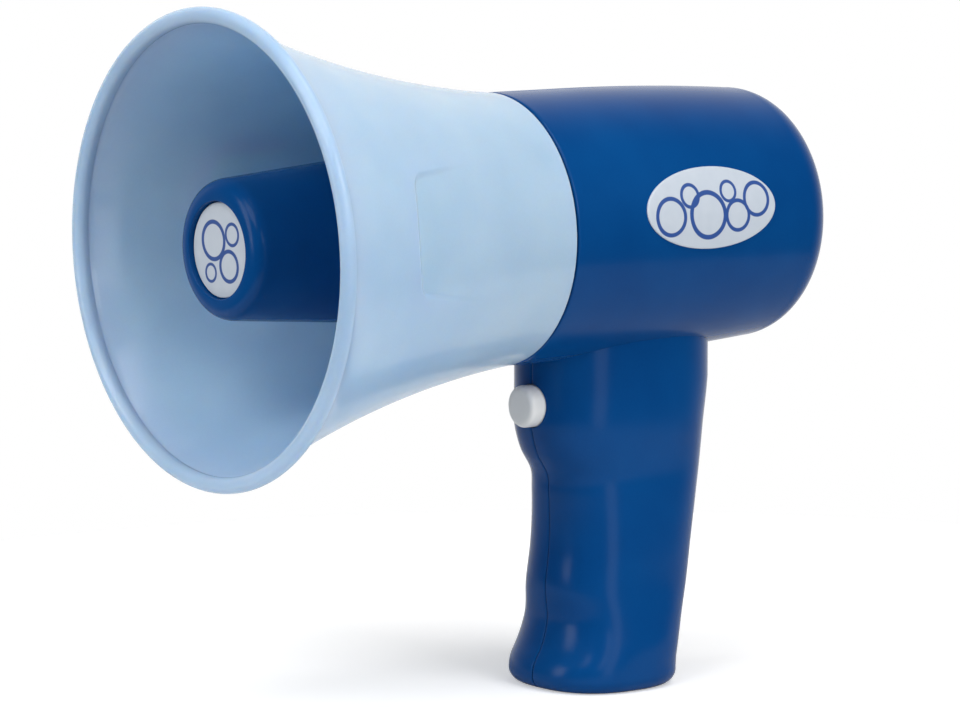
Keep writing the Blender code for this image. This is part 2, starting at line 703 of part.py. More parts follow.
def make_bubble_wheel():
    """A disc with blowing loops standing out round its edge."""
    reach = math.degrees(math.asin(LOOP_RADIUS / LOOP_CIRCLE))
    outline = []
    holes = [circle(POST_RADIUS + RUNNING_FIT, 16)]
    for loop in range(LOOP_COUNT):
        middle = 360 * loop / LOOP_COUNT
        for offset in np.linspace(-reach, reach, 5):
            aside = LOOP_CIRCLE * math.sin(math.radians(offset))
            radius = LOOP_CIRCLE * math.cos(math.radians(offset))
            radius += math.sqrt(max(0.0, LOOP_RADIUS**2 - aside**2))
            turn = math.radians(middle + offset)
            outline.append((radius * math.cos(turn), radius * math.sin(turn)))
        for offset in (reach + 0.6, 360 / LOOP_COUNT - reach - 0.6):
            turn = math.radians(middle + offset)
            outline.append((WHEEL_RADIUS * math.cos(turn), WHEEL_RADIUS * math.sin(turn)))
        turn = math.radians(middle)
        holes.append(circle(LOOP_BORE, 8, (LOOP_CIRCLE * math.cos(turn), LOOP_CIRCLE * math.sin(turn))))
    back = WHEEL_FRONT + WHEEL_THICKNESS
    extruded("bubble_wheel", [outline] + holes, "Y", WHEEL_FRONT, back, WHEEL_AXIS, WHITE_PLASTIC)


def make_trough():
    """A channel round the bottom of the barrel's mouth, open inwards, cut off level at its top."""
    inside = TROUGH_RADIUS - TROUGH_WALL
    profile = [(TROUGH_RADIUS, TROUGH_BACK), (TROUGH_RADIUS, TROUGH_FRONT), (TROUGH_LIP, TROUGH_FRONT)]
    profile += [(TROUGH_LIP, TROUGH_FRONT + TROUGH_WALL), (inside, TROUGH_FRONT + TROUGH_WALL)]
    profile += [(inside, TROUGH_BACK - TROUGH_WALL), (TROUGH_LIP, TROUGH_BACK - TROUGH_WALL)]
    profile += [(TROUGH_LIP, TROUGH_BACK)]
    trough = turned("solution_trough", profile, BARREL_AXIS, DEEP_BLUE)
    below = ((-50, 0, -50), (50, 30, TROUGH_TOP))
    keep(trough, blocks("below_trough_top", BARREL_AXIS, boxes=[below]))


def make_motor():
    """The motor can with its front boss, its rear cap, and the shaft through both with the fan on it."""
    bore = MOTOR_SHAFT_RADIUS + EASY_FIT
    can = [(MOTOR_RADIUS, MOTOR_BACK), (MOTOR_RADIUS, MOTOR_FRONT), (MOTOR_BOSS_RADIUS, MOTOR_FRONT)]
    can += [(MOTOR_BOSS_RADIUS, BRACKET_FRONT + GAP), (bore, BRACKET_FRONT + GAP), (bore, MOTOR_BACK)]
    turned("motor_can", can, BARREL_AXIS, MOTOR_STEEL, steps=MOTOR_STEPS)
    front = MOTOR_BACK + GAP
    back = front + END_CAP_THICKNESS
    boss = back + END_CAP_BOSS
    rim = MOTOR_RADIUS - EASY_FIT
    cap = [(MOTOR_BOSS_RADIUS, boss), (MOTOR_BOSS_RADIUS, back), (rim, back)]
    cap += [(rim, front), (bore, front), (bore, boss)]
    turned("motor_end_cap", cap, BARREL_AXIS, WHITE_PLASTIC, steps=MOTOR_STEPS)
    rod = ((0, LAY_GEAR_FRONT - 1.2, 0), (0, FAN_BACK + 1, 0), MOTOR_SHAFT_RADIUS)
    blocks("motor_shaft", MOTOR_AXIS, STEEL, rods=[rod], sides=10)
    hole = MOTOR_SHAFT_RADIUS + GAP
    hub = [(FAN_HUB - 2, FAN_BACK), (FAN_HUB, FAN_BACK - 2), (FAN_HUB, FAN_FRONT)]
    hub += [(hole, FAN_FRONT), (hole, FAN_BACK)]
    fan = turned("fan_impeller", hub, MOTOR_AXIS, WHITE_PLASTIC, steps=18)
    root = FAN_HUB - BLADE_ROOT
    size = Vector((FAN_RADIUS - root, BLADE_CHORD, BLADE_THICKNESS)) * MM
    shape = bmesh.new()
    for blade in range(FAN_BLADES):
        spin = Matrix.Rotation(2 * math.pi * blade / FAN_BLADES, 4, "Y")
        out = Matrix.Translation(Vector(((FAN_RADIUS + root) / 2, (FAN_FRONT + FAN_BACK) / 2, 0)) * MM)
        twist = Matrix.Rotation(BLADE_PITCH, 4, "X")
        bmesh.ops.create_cube(shape, size=1.0, matrix=spin @ out @ twist @ Matrix.Diagonal((*size, 1.0)))
    mesh = bpy.data.meshes.new("fan_blades")
    shape.to_mesh(mesh)
    shape.free()
    fuse(fan, place("fan_blades", mesh, MOTOR_AXIS, None))


def grip_rings(heights, inset):
    """Sections of the grip at these heights, drawn in by the inset and rounded under at the foot."""
    knots = np.array(GRIP_SECTIONS[::-1])
    front, back, half = through(knots[:, 0], knots[:, 1:], heights).T
    drop = np.clip(1 - heights / FOOT_ROUND, 0, 1)
    under = inset + FOOT_ROUND * (1 - np.sqrt(1 - drop**2))
    rings = []
    for height, near, far, wide, into in zip(heights, front, back, half, under):
        outline = superellipse(wide - into, (far - near) / 2 - into, (far + near) / 2, GRIP_POINTS)
        rings.append(np.column_stack([outline, np.full(len(outline), height)]))
    return np.array(rings)


def loft(name, rings, on, finish=None):
    """Skins rings of equal point counts from the lowest to the highest, and caps both ends."""
    count, around = rings.shape[:2]
    here = np.arange(around)
    after = (here + 1) % around
    faces = [here[::-1].tolist(), ((count - 1) * around + here).tolist()]
    for level in range(count - 1):
        low, high = level * around, (level + 1) * around
        faces += np.stack([low + here, low + after, high + after, high + here], axis=1).tolist()
    mesh = bpy.data.meshes.new(name)
    mesh.from_pydata((rings.reshape(-1, 3) * MM).tolist(), [], faces)
    return place(name, mesh, on, finish)


def bore_step(back, front, radius):
    """A square-edged ring in the barrel's bore, between two stations."""
    behind, before = barrel_radius(back) - WALL, barrel_radius(front) - WALL
    return [(behind, back), (radius, back), (radius, front), (before, front)]


def cut_peg_slots(barrel):
    """The ways in for the horn's pegs, a twist away from where they lie when the horn is locked."""
    half = PEG_RADIUS + PEG_SLOT_ROOM
    slot = ((SPIGOT_RADIUS - 1, -2, -half), (PEG_REACH + 2 * EASY_FIT, PEG_STATION, half))
    for degrees in PEG_TURNS:
        on = anchor(f"slot_{degrees}_place", 0, JOINT_Y, AXIS_HEIGHT)
        on.rotation_euler = (0, math.radians(BAYONET_TWIST - degrees), 0)
        cut(barrel, blocks(f"bayonet_slot_{degrees}", on, boxes=[slot]))


def make_body_blank():
    """Barrel and grip as one hollow body, before it is split: the barrel's wall parts it from the grip."""
    foot = [0.0, 0.6, 1.8, 4.6]
    rise = [8.2, 13.0, 20.0, 26.0, 33.0, 44.0, 61.0, 67.0, 72.0, 76.5, 81.5, 96.0]
    grip = loft("grip_solid", grip_rings(np.array(foot + rise + [116.0]), 0.0), BASE)
    cut(grip, loft("grip_hollow", grip_rings(np.array([FOOT_FLOOR] + rise + [118.0]), WALL), BASE))
    corner = (BARREL_BACK_RADIUS - BARREL_ROUND, BARREL_BACK - BARREL_ROUND)
    profile = [(0, BARREL_BACK)] + arc(corner, BARREL_ROUND, 90, 0, 6)
    profile += [(barrel_radius(s), s) for s in (86.0, 72.0, 56.0, 40.0, 1.0)]
    profile += [(THROAT_RADIUS - EDGE_CHAMFER, GAP), (0, GAP)]
    barrel = turned("barrel_solid", profile, BARREL_AXIS)
    cut_peg_slots(barrel)
    fuse(grip, barrel)
    profile = [(0, BARREL_BACK - WALL)] + arc(corner, BARREL_ROUND - WALL, 90, 0, 5)
    profile += [(barrel_radius(80.0) - WALL, 80.0)]
    for stop, radius in (
        (BRACKET_FRONT + BRACKET_THICKNESS + GAP, BRACKET_STOP_RADIUS),
        (CHASSIS_BACK + GAP, CHASSIS_STOP_RADIUS),
    ):
        profile += bore_step(stop + STOP_WIDTH, stop, radius)
    half = PEG_RADIUS + EASY_FIT
    profile += bore_step(PEG_STATION + half, PEG_STATION - half, PEG_REACH + EASY_FIT)
    profile += [(THROAT_RADIUS - WALL, -1.0), (0, -1.0)]
    cut(grip, turned("barrel_hollow", profile, BARREL_AXIS))
    return grip


def screw_places():
    """Each shell screw's Y and Z, and how far its bosses reach out into the wall."""
    places = [(*on_barrel(station, rise), reach) for station, rise, reach in BARREL_SCREWS]
    return places + list(GRIP_SCREWS)


def shell_openings(side):
    """Everything cut out of one half of the body: vents, button hole, door opening, wire way and slots."""
    low_y, high_y = on_barrel(BARREL_BACK - 4, 0)[0], on_barrel(BARREL_BACK + 4, 0)[0]
    vents = []
    for rise in VENT_HEIGHTS:
        end = math.sqrt(VENT_REACH**2 - rise**2)
        ends = sorted((side * VENT_INNER_END, side * end))
        low = (ends[0], low_y, AXIS_HEIGHT + rise - VENT_HALF_HEIGHT)
        high = (ends[1], high_y, AXIS_HEIGHT + rise + VENT_HALF_HEIGHT)
        vents.append((low, high))
    button = ((0, -30, TRIGGER_HEIGHT), (0, -15, TRIGGER_HEIGHT), TRIGGER_RADIUS + GAP)
    stem = ((0, SEAT_RIB_Y - 2, TRIGGER_HEIGHT), (0, SEAT_RIB_Y + 4, TRIGGER_HEIGHT), STEM_HOLE_RADIUS)
    wire_y = on_barrel(WIRE_WAY_STATION, 0)[0]
    wires = ((0, wire_y, 98), (0, wire_y, 112), WIRE_WAY_RADIUS)
    return {"rods": [button, stem, wires], "boxes": vents}


def cut_base(blank):
    """Opens the body's foot for the battery door and its hinge."""
    door = superellipse(DOOR_HALF[0] + EASY_FIT, DOOR_HALF[1] + EASY_FIT, DOOR_CENTRE_Y, DOOR_POINTS)
    cut(blank, as_mesh(extruded("door_opening", [door.tolist()], "Z", -2, FOOT_FLOOR + GAP, BASE)))
    hinge_end = (HINGE_HALF_LENGTH + HINGE_END_ROOM, HINGE_Y, HINGE_HEIGHT)
    hinge_start = (-hinge_end[0], HINGE_Y, HINGE_HEIGHT)
    hinge = (hinge_start, hinge_end, HINGE_RADIUS + HINGE_CLEARANCE)
    cut(blank, blocks("hinge_clearance", BASE, rods=[hinge], sides=16))
    pin_end = Vector((HINGE_PIN_HALF_LENGTH + EASY_FIT, 0, 0))
    hole = (-pin_end, pin_end, HINGE_PIN_RADIUS + GAP)
    cut(blank, blocks("hinge_pin_hole", DOOR_HINGE, rods=[hole], sides=10))


def make_shells():
    """The body's two halves, with their screw bosses, ribs and openings."""
    blank = make_body_blank()
    cut_base(blank)
    for name, side in (("left_body_shell", 1), ("right_body_shell", -1)):
        ends = sorted((side * GAP / 2, side * 60))
        half = blocks(name, BASE, DEEP_BLUE, boxes=[((ends[0], -60, -5), (ends[1], 90, 200))])
        keep(half, blank)
        bosses, holes, counterbores = [], [], []
        for y, height, reach in screw_places():
            radius = BOSS_RADIUS if side > 0 else WELL_RADIUS
            bosses.append(((side * GAP / 2, y, height), (side * reach, y, height), radius))
            depth = SCREW_REACH + 1 if side > 0 else SCREW_SEAT + 1
            holes.append(((-side, y, height), (side * depth, y, height), SCREW_SHANK_RADIUS + GAP))
            outside = (side * 60, y, height)
            counterbores.append(((side * SCREW_SEAT, y, height), outside, SCREW_HEAD_RADIUS + EASY_FIT))
        fuse(half, blocks(name + "_bosses", BASE, rods=bosses, sides=10))
        fuse(half, blocks(name + "_ribs", BASE, boxes=rib_boxes(side)))
        if side > 0:
            radius, low, high = DOOR_BOSS
            fuse(half, blocks("door_boss", BASE, rods=[((*DOOR_SCREW, low), (*DOOR_SCREW, high), radius)]))
            radius, low, high = DOOR_BOSS_HOLE
            holes.append(((*DOOR_SCREW, low), (*DOOR_SCREW, high), radius))
        else:
            cut(half, blocks(name + "_counterbores", BASE, rods=counterbores))
        cut(half, blocks(name + "_holes", BASE, rods=holes, sides=10))
        cut(half, blocks(name + "_openings", BASE, **shell_openings(side)))
    for number, (y, height, _) in enumerate(screw_places(), 1):
        make_shell_screw(f"shell_screw_{number}", y, height)


def rib_boxes(side):
    """Cross ribs in the grip: the spring seat, the switch's backstop, the battery stop and a screw web."""
    ribs = []
    for (reach, low, high), front in ((SEAT_RIB, SEAT_RIB_Y), (BACKSTOP_RIB, SWITCH_BACK_Y + GAP)):
        ends = sorted((side * GAP / 2, side * reach))
        ribs.append(((ends[0], front, low), (ends[1], front + RIB_THICKNESS, high)))
    start, reach, front, back, low, high = BATTERY_STOP_RIB
    ends = sorted((side * start, side * reach))
    ribs.append(((ends[0], front, low), (ends[1], back, high)))
    x, y = DOOR_SCREW
    _, low, high = DOOR_BOSS
    web = ((x, y - DOOR_WEB_HALF, low + GAP), (DOOR_WEB_REACH, y + DOOR_WEB_HALF, high - GAP))
    return ribs + [web] * (side > 0)


def make_shell_screw(name, y, height):
    """A self-tapping screw lying along X, its head on the right side."""
    on = anchor(name + "_place", 0, y, height)
    on.rotation_euler = (0, 0, math.pi / 2)
    seat = SCREW_SEAT + GAP
    profile = [(0, seat + SCREW_HEAD_HEIGHT), (SCREW_HEAD_RADIUS - 0.8, seat + SCREW_HEAD_HEIGHT)]
    profile += [(SCREW_HEAD_RADIUS, seat + SCREW_HEAD_HEIGHT - 0.8), (SCREW_HEAD_RADIUS, seat)]
    profile += [(SCREW_SHANK_RADIUS, seat), (SCREW_SHANK_RADIUS, SCREW_POINT - SCREW_REACH)]
    profile += [(0, -SCREW_REACH)]
    turned(name, profile, on, STEEL, steps=10)


def make_side_labels():
    """Thin oval plates that follow the barrel's sides."""
    stations = (90.0, 76.0, 62.0, 48.0, 36.0, 24.0)
    outer = [(barrel_radius(s) + GAP + LABEL_THICKNESS, s) for s in stations]
    inner = [(barrel_radius(s) + GAP, s) for s in stations[::-1]]
    half_y, half_z = SIDE_LABEL_HALF
    middle = on_barrel(SIDE_LABEL_STATION, SIDE_LABEL_RISE)
    oval = [(middle[0] + half_y * across, middle[1] + half_z * up) for across, up in circle(1, 32)]
    for name, side in (("left_side_label", 1), ("right_side_label", -1)):
        label = turned(name, outer + inner, BARREL_AXIS, PALE_LABEL, steps=40)
        ends = sorted((side * 20, side * 60))
        keep(label, as_mesh(extruded(name + "_outline", [oval], "X", *ends, BASE)))


def make_trigger():
    """The round button with its retaining flange and stem, its return spring, and the switch behind it."""
    corner = (TRIGGER_RADIUS - TRIGGER_EDGE, TRIGGER_EDGE)
    flange_back = TRIGGER_FLANGE + TRIGGER_FLANGE_THICKNESS
    profile = [(0, TRIGGER_STEM_END), (TRIGGER_STEM_RADIUS, TRIGGER_STEM_END)]
    profile += [(TRIGGER_STEM_RADIUS, flange_back), (TRIGGER_FLANGE_RADIUS, flange_back)]
    profile += [(TRIGGER_FLANGE_RADIUS, TRIGGER_FLANGE), (TRIGGER_RADIUS, TRIGGER_FLANGE)]
    profile += arc(corner, TRIGGER_EDGE, 0, -90, 4) + [(0, -TRIGGER_DOME)]
    turned("trigger_button", profile, TRIGGER_AXIS, WHITE_PLASTIC, steps=20)
    start = (0, flange_back + SPRING_END_ROOM, 0)
    end = (0, SEAT_RIB_Y - TRIGGER_FACE_Y - SPRING_END_ROOM, 0)
    radii = (TRIGGER_SPRING_RADIUS, TRIGGER_SPRING_RADIUS)
    coil("trigger_spring", start, end, radii, 3, TRIGGER_SPRING_WIRE, TRIGGER_AXIS, SPRING_STEEL)
    plunger_end = TRIGGER_STEM_END + GAP + PLUNGER_LENGTH
    push = ((0, TRIGGER_STEM_END + GAP, 0), (0, plunger_end, 0), PLUNGER_RADIUS)
    blocks("switch_plunger", TRIGGER_AXIS, BLACK_PLASTIC, rods=[push], sides=12)
    low = (-SWITCH_HALF_WIDTH, SWITCH_FRONT_Y, TRIGGER_HEIGHT - SWITCH_HALF_HEIGHT)
    high = (SWITCH_HALF_WIDTH, SWITCH_BACK_Y, TRIGGER_HEIGHT + SWITCH_HALF_HEIGHT)
    switch = blocks("switch_body", BASE, BLACK_PLASTIC, boxes=[(low, high)])
    well_end = TRIGGER_FACE_Y + plunger_end + PLUNGER_TRAVEL_ROOM
    well = ((0, SWITCH_FRONT_Y - 2, TRIGGER_HEIGHT), (0, well_end, TRIGGER_HEIGHT), PLUNGER_RADIUS + EASY_FIT)
    cut(switch, blocks("plunger_well", BASE, rods=[well]))


def cell_centres():
    """The cells' places in plan: one at the front, then left rear and right rear."""
    turns = [math.radians(d) for d in (-90, 30, 150)]
    return [(CELL_CIRCLE * math.cos(a), HOLDER_Y + CELL_CIRCLE * math.sin(a)) for a in turns]


def make_batteries():
    """Three cells in series in their holder, the board over them, and the contacts at both ends."""
    centres = cell_centres()
    hull = rounded_hull(centres, CELL_RADIUS + HOLDER_WALL)
    bores = [circle(CELL_RADIUS + GAP, 16, centre) for centre in centres]
    extruded("battery_holder", [hull] + bores, "Z", HOLDER_BOTTOM, HOLDER_TOP, BASE, BLACK_PLASTIC)
    board = CONTACT_HEIGHT + CONTACT_THICKNESS + GAP
    wire_holes = [circle(WIRE_HOLE, 8, centres[0])]
    extruded("contact_board", [hull] + wire_holes, "Z", board, board + BOARD_THICKNESS, BASE, BLACK_PLASTIC)
    top = CELL_BOTTOM + CELL_LENGTH
    for number, (x, y) in enumerate(centres, 1):
        place_at = anchor(f"battery_cell_{number}_place", x, y, 0)
        place_at.rotation_euler = (math.pi / 2, 0, 0)
        upright = number != 2
        low, high = (CELL_BOTTOM, top - CELL_NUB) if upright else (CELL_BOTTOM + CELL_NUB, top)
        nub = [(0, top), (NUB_RADIUS, top), (NUB_RADIUS, high)] if upright else [(0, high)]
        foot = [(0, low)] if upright else [(NUB_RADIUS, low), (NUB_RADIUS, CELL_BOTTOM), (0, CELL_BOTTOM)]
        body = [(CELL_RADIUS, high), (CELL_RADIUS, low)]
        turned(f"battery_cell_{number}", nub + body + foot, place_at, CELL_JACKET, steps=14)
    level = CONTACT_HEIGHT + CONTACT_THICKNESS
    terminal = circle(CONTACT_RADIUS, 14, centres[0])
    extruded("top_terminal", [terminal], "Z", CONTACT_HEIGHT, level, BASE, SPRING_STEEL)
    bridge = rounded_hull(centres[1:], CONTACT_RADIUS)
    extruded("top_bridge", [bridge], "Z", CONTACT_HEIGHT, level, BASE, SPRING_STEEL)
    face, floor = STRIP_X + STRIP_THICKNESS, STRIP_BOTTOM + STRIP_THICKNESS
    strip = [(STRIP_X, STRIP_BOTTOM), (STRIP_FOOT_X, STRIP_BOTTOM), (STRIP_FOOT_X, floor), (face, floor)]
    strip += [(face, STRIP_TOP), (STRIP_X, STRIP_TOP)]
    low, high = centres[2][1] - STRIP_HALF_WIDTH, centres[2][1] + STRIP_HALF_WIDTH
    extruded("side_strip", [strip], "Y", low, high, BASE, SPRING_STEEL)


def make_battery_door():
    """The base plate on its rear hinge pin, with its screw, two contact plates and their springs."""
    outline = superellipse(*DOOR_HALF, DOOR_CENTRE_Y - HINGE_Y, DOOR_POINTS).tolist()
    floor = -HINGE_HEIGHT
    top = floor + DOOR_THICKNESS
    door = as_mesh(extruded("battery_door", [outline], "Z", floor, top, DOOR_HINGE, DEEP_BLUE))
    knuckle = ((-HINGE_HALF_LENGTH, 0, 0), (HINGE_HALF_LENGTH, 0, 0), HINGE_RADIUS)
    fuse(door, blocks("door_knuckle", DOOR_HINGE, rods=[knuckle], sides=16))
    pin_end = Vector((HINGE_PIN_HALF_LENGTH, 0, 0))
    hole = (-pin_end, pin_end, HINGE_PIN_RADIUS + GAP)
    cut(door, blocks("door_pin_hole", DOOR_HINGE, rods=[hole], sides=10))
    blocks("hinge_pin", DOOR_HINGE, STEEL, rods=[(-pin_end, pin_end, HINGE_PIN_RADIUS)], sides=10)
    x, y = DOOR_SCREW[0], DOOR_SCREW[1] - HINGE_Y
    head = ((x, y, floor - 1), (x, y, floor + DOOR_SCREW_SEAT), DOOR_SCREW_HEAD_HOLE)
    shank = ((x, y, floor - 2), (x, y, top + 2), DOOR_SCREW_SHANK_HOLE)
    cut(door, blocks("door_screw_head", DOOR_HINGE, rods=[head]))
    cut(door, blocks("door_screw_shank", DOOR_HINGE, rods=[shank]))
    screw_place = anchor("door_screw_place", *DOOR_SCREW, 0)
    screw_place.rotation_euler = (math.pi / 2, 0, 0)
    turned("door_screw", DOOR_SCREW_PROFILE, screw_place, STEEL, steps=10)
    centres = [(cx, cy - HINGE_Y) for cx, cy in cell_centres()]
    low, high = top + GAP, top + GAP + CONTACT_THICKNESS
    outline = rounded_hull(centres[:2], BRIDGE_RADIUS)
    bridge = as_mesh(extruded("door_bridge", [outline], "Z", low, high, DOOR_HINGE, SPRING_STEEL))
    button_top = CELL_BOTTOM - HINGE_HEIGHT - GAP
    button = ((*centres[1], (low + high) / 2), (*centres[1], button_top), BRIDGE_BUTTON_RADIUS)
    fuse(bridge, blocks("bridge_button", DOOR_HINGE, rods=[button], sides=10))
    tab = (centres[2][0] - DOOR_TERMINAL_REACH, centres[2][1])
    terminal = rounded_hull([centres[2], tab], DOOR_TERMINAL_RADIUS)
    extruded("door_terminal", [terminal], "Z", low, high, DOOR_HINGE, SPRING_STEEL)
    for number, centre in ((1, centres[0]), (2, centres[2])):
        start = (*centre, high + DOOR_SPRING_ROOM)
        end = (*centre, button_top - EASY_FIT)
        radii = DOOR_SPRINGS[number]
        coil(f"door_spring_{number}", start, end, radii, 2.5, DOOR_SPRING_WIRE, DOOR_HINGE, SPRING_STEEL)


def make_wires():
    """Battery to switch, switch to motor, and motor back to the battery's side strip."""
    centres = cell_centres()
    board_top = CONTACT_HEIGHT + CONTACT_THICKNESS + GAP + BOARD_THICKNESS
    way_y = on_barrel(WIRE_WAY_STATION, 0)[0]
    motor_y, motor_z = on_barrel(MOTOR_BACK + 5.6, 0)
    supply = [(*centres[0], board_top - 1.6), (0, -3.4, 66), (1, 1.5, 74), (1.5, 1.0, 81), (1.5, 0, 85.8)]
    wire("wire_supply", supply, WIRE_RADIUS, BASE, RED_WIRE)
    switched = [(2, 3, 95.2), (2, 4.4, 99), (1.8, 9.5, 101), (1.4, 17, 101), (1.2, way_y - 1, 104)]
    switched += [(1.2, way_y, 110), (2.5, way_y + 4, 122), (4, way_y + 14, 134), (4, motor_y, motor_z - 6.6)]
    wire("wire_switched", switched, WIRE_RADIUS, BASE, YELLOW_WIRE)
    back = [(-16.2, centres[2][1], 63), (-14.5, 14.5, 63), (-11, 17, 68), (-7, 14.5, 82), (-3, 18, 94)]
    back += [(-1.2, way_y - 1, 102), (-1.2, way_y, 110), (-2.5, way_y + 4, 122), (-4, way_y + 14, 134)]
    back += [(-4, motor_y, motor_z - 6.6)]
    wire("wire_return", back, WIRE_RADIUS, BASE, BLACK_WIRE)


make_shells()
make_horn()
make_nose_cone()
make_post()
make_frames()
make_gears()
make_bubble_wheel()
make_trough()
make_motor()
make_side_labels()
make_trigger()
make_batteries()
make_battery_door()
make_wires()
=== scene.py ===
"""The looks of a toy bubble megaphone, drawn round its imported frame.

Sizes are named in millimetres and become metres where a mesh is made. Pieces on the barrel's axis are
drawn by their radius and their station, the distance behind the joint of horn and barrel. A rise is a
height above that axis. A profile's corner is (radius, station, cut), and the cut says how far along each
side its easing starts.
"""

import json
import math

import bmesh
import bpy
import numpy as np
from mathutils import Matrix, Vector


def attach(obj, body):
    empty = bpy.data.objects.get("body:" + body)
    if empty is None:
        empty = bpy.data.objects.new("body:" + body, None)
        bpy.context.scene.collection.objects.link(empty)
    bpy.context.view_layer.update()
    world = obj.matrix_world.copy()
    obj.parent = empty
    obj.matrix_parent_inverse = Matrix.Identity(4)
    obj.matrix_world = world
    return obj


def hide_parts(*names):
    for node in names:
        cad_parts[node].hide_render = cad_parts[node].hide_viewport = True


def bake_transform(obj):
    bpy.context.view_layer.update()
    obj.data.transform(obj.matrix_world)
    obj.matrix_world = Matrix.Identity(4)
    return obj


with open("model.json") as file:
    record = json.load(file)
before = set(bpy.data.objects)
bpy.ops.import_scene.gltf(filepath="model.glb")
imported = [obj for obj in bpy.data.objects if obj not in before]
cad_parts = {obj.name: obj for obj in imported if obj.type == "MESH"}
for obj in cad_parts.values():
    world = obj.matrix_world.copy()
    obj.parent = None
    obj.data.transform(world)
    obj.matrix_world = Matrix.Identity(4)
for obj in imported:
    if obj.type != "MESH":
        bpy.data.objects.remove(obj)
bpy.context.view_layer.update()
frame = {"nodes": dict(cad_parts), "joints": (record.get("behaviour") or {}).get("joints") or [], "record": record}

MM = 0.001
ALONG_X, ALONG_Y, ALONG_Z = np.eye(3)
JOINTS = {joint["name"]: joint for joint in frame["joints"]}
AXIS = np.array(JOINTS["horn_twist"]["pos_m"]) / MM
HINGE = np.array(JOINTS["door_hinge"]["pos_m"]) / MM
JOINT_Y, AXIS_HEIGHT = AXIS[1], AXIS[2]
CREASE = math.radians(32)

# Horn
BELL_LENGTH = 106.5
THROAT_RADIUS = 42.5
FLARE = ((9.4, 1), (17.7, 2))
LIP_FLARE = (2.9, 30)
HORN_WALL = 1.1
RIM_RADIUS = 72.5
BEAD_RADIUS = 2.5
SPIGOT_RADIUS = 39.6
SPIGOT_BORE = 38.2
SPIGOT_END = 6.2
HALF_JOINT = 0.3
JOINT_FACE = (41.0, 41.7)
JOINT_EDGE = 2.0
HEEL_START = 5.7
PEG_TURNS = (60, 180, 300)
PEG_STATION = 4.0
PEG_REACH = 41.0
PEG_RADIUS = 1.0
PEG_SINK = 0.6
PAD_FRONT = -68.0
PAD_BOW = 2.3
PAD_REAR = -42.0
PAD_TOP = (23.9, 0.06)
PAD_LOW = (-11.4, -0.14)
PAD_CORNER = 2.8
PAD_DEPTH = 0.85
PAD_EDGE = 0.9
PAD_EDGE_INSIDE = 5.0
PAD_WIDER_INSIDE = 4.0
PAD_SHARE_INSIDE = 0.75
# Rows of the bell, closest at the front edge of the pads: first station, last station, count
BELL_ROWS = ((-3, -65.8, 54), (-66.0, -72.0, 25), (-72.8, -104.2, 34))
INNER_ROWS = (-103, -4, 72)
INNER_END = (-3.0, -1.5)
BEAD_ARC = (30, -195, 28)
LIP = ((67.66, -105.4, 0), (67.95, -104.75, 0.3), (67.3, -103.6, 0))
BELL_TURNS = 240
# Where the top and low edges of a pad lie, in degrees, and the closer steps between turns there
PAD_EDGE_TURNS = ((23.0, 33.1), (-19.6, -9.9))
PAD_EDGE_STEP = 0.3

# Nose cone
CONE_BACK = (30.0, 6.0)
CONE_SHOULDER = (21.6, -97.0)
CONE_FRONT = -104.0
CONE_WALL = 1.1
LABEL_SEAT = -101.6
LABEL_RADIUS = 14.3
LABEL_ROOM = 0.4
LABEL_LIFT = (0.05, 0.8)
CONE_NOSE_EASE = 5.4
CONE_NOSE_INSIDE = (1.6, -99.0)
CONE_FLOOR = -99.8

# Barrel
BARREL_BACK = 108.5
BARREL_ROUND = 13.0
BARREL_BACK_RADIUS = 40.0
TAPER_START = 30.0
WALL = 2.4
# Ribs inside the barrel and the groove for the pegs: back end, front end, radius
BARREL_RIBS = ((58.8, 57.5, 36.6), (25.0, 23.8, 37.4), (5.4, 2.6, PEG_REACH + 0.4))
BARREL_TURNS = 121
SEAM = 0.15
SEAM_INSIDE = 0.01
SEAM_ROUND = 0.22
SEAM_WIDTH = 0.5
VENT_RISES = (-18, -9, 0, 9, 18)
VENT_HALF_HEIGHT = 1.7
VENT_REACH = 27.0
VENT_START = 3.0
# A vent on its way out through the back: distance from the back's face, half height
VENT_FLARE = ((-5.0, 1.7), (-0.5, 1.7), (-0.15, 1.82), (0.1, 2.15), (2.0, 2.15))
SIDE_LABEL_STATION = 53.8
SIDE_LABEL_RISE = 6.7
SIDE_LABEL_HALF = (26.5, 12.6)
# Rows of an oval label from the middle of its face, over the edge, to the middle of its back
SIDE_LABEL_SHARE = np.array([0, 0.25, 0.5, 0.7, 0.85, 0.94, 0.975, 0.988, 0.995, 1.0, 1.0, 0.5, 0.0])
SIDE_LABEL_LIFT = np.array([0.55, 0.55, 0.55, 0.55, 0.55, 0.55, 0.55, 0.52, 0.42, 0.3, 0.0, 0.0, 0.0])

# Grip sections from base to top: height, front edge, back edge, half width
GRIP_SECTIONS = np.array(
    (
        (0.0, -23.2, 25.9, 25.4),
        (8.0, -22.3, 26.0, 25.4),
        (13.0, -19.5, 26.7, 25.2),
        (21.0, -17.1, 28.6, 24.0),
        (32.0, -17.8, 31.9, 22.4),
        (44.0, -16.5, 34.0, 21.7),
        (62.0, -16.5, 37.2, 21.0),
        (68.0, -17.0, 38.2, 20.9),
        (75.0, -21.1, 39.0, 21.6),
        (81.0, -23.0, 39.4, 22.4),
        (97.0, -23.3, 41.2, 23.1),
        (116.0, -23.3, 41.3, 23.1),
    )
)
GRIP_POWER = 2.5
GRIP_SHOULDER = 97.0
FOOT_ROUND = 4.6
FOOT_FLOOR = 4.2
SINK = 0.4
GRIP_TURNS = 141

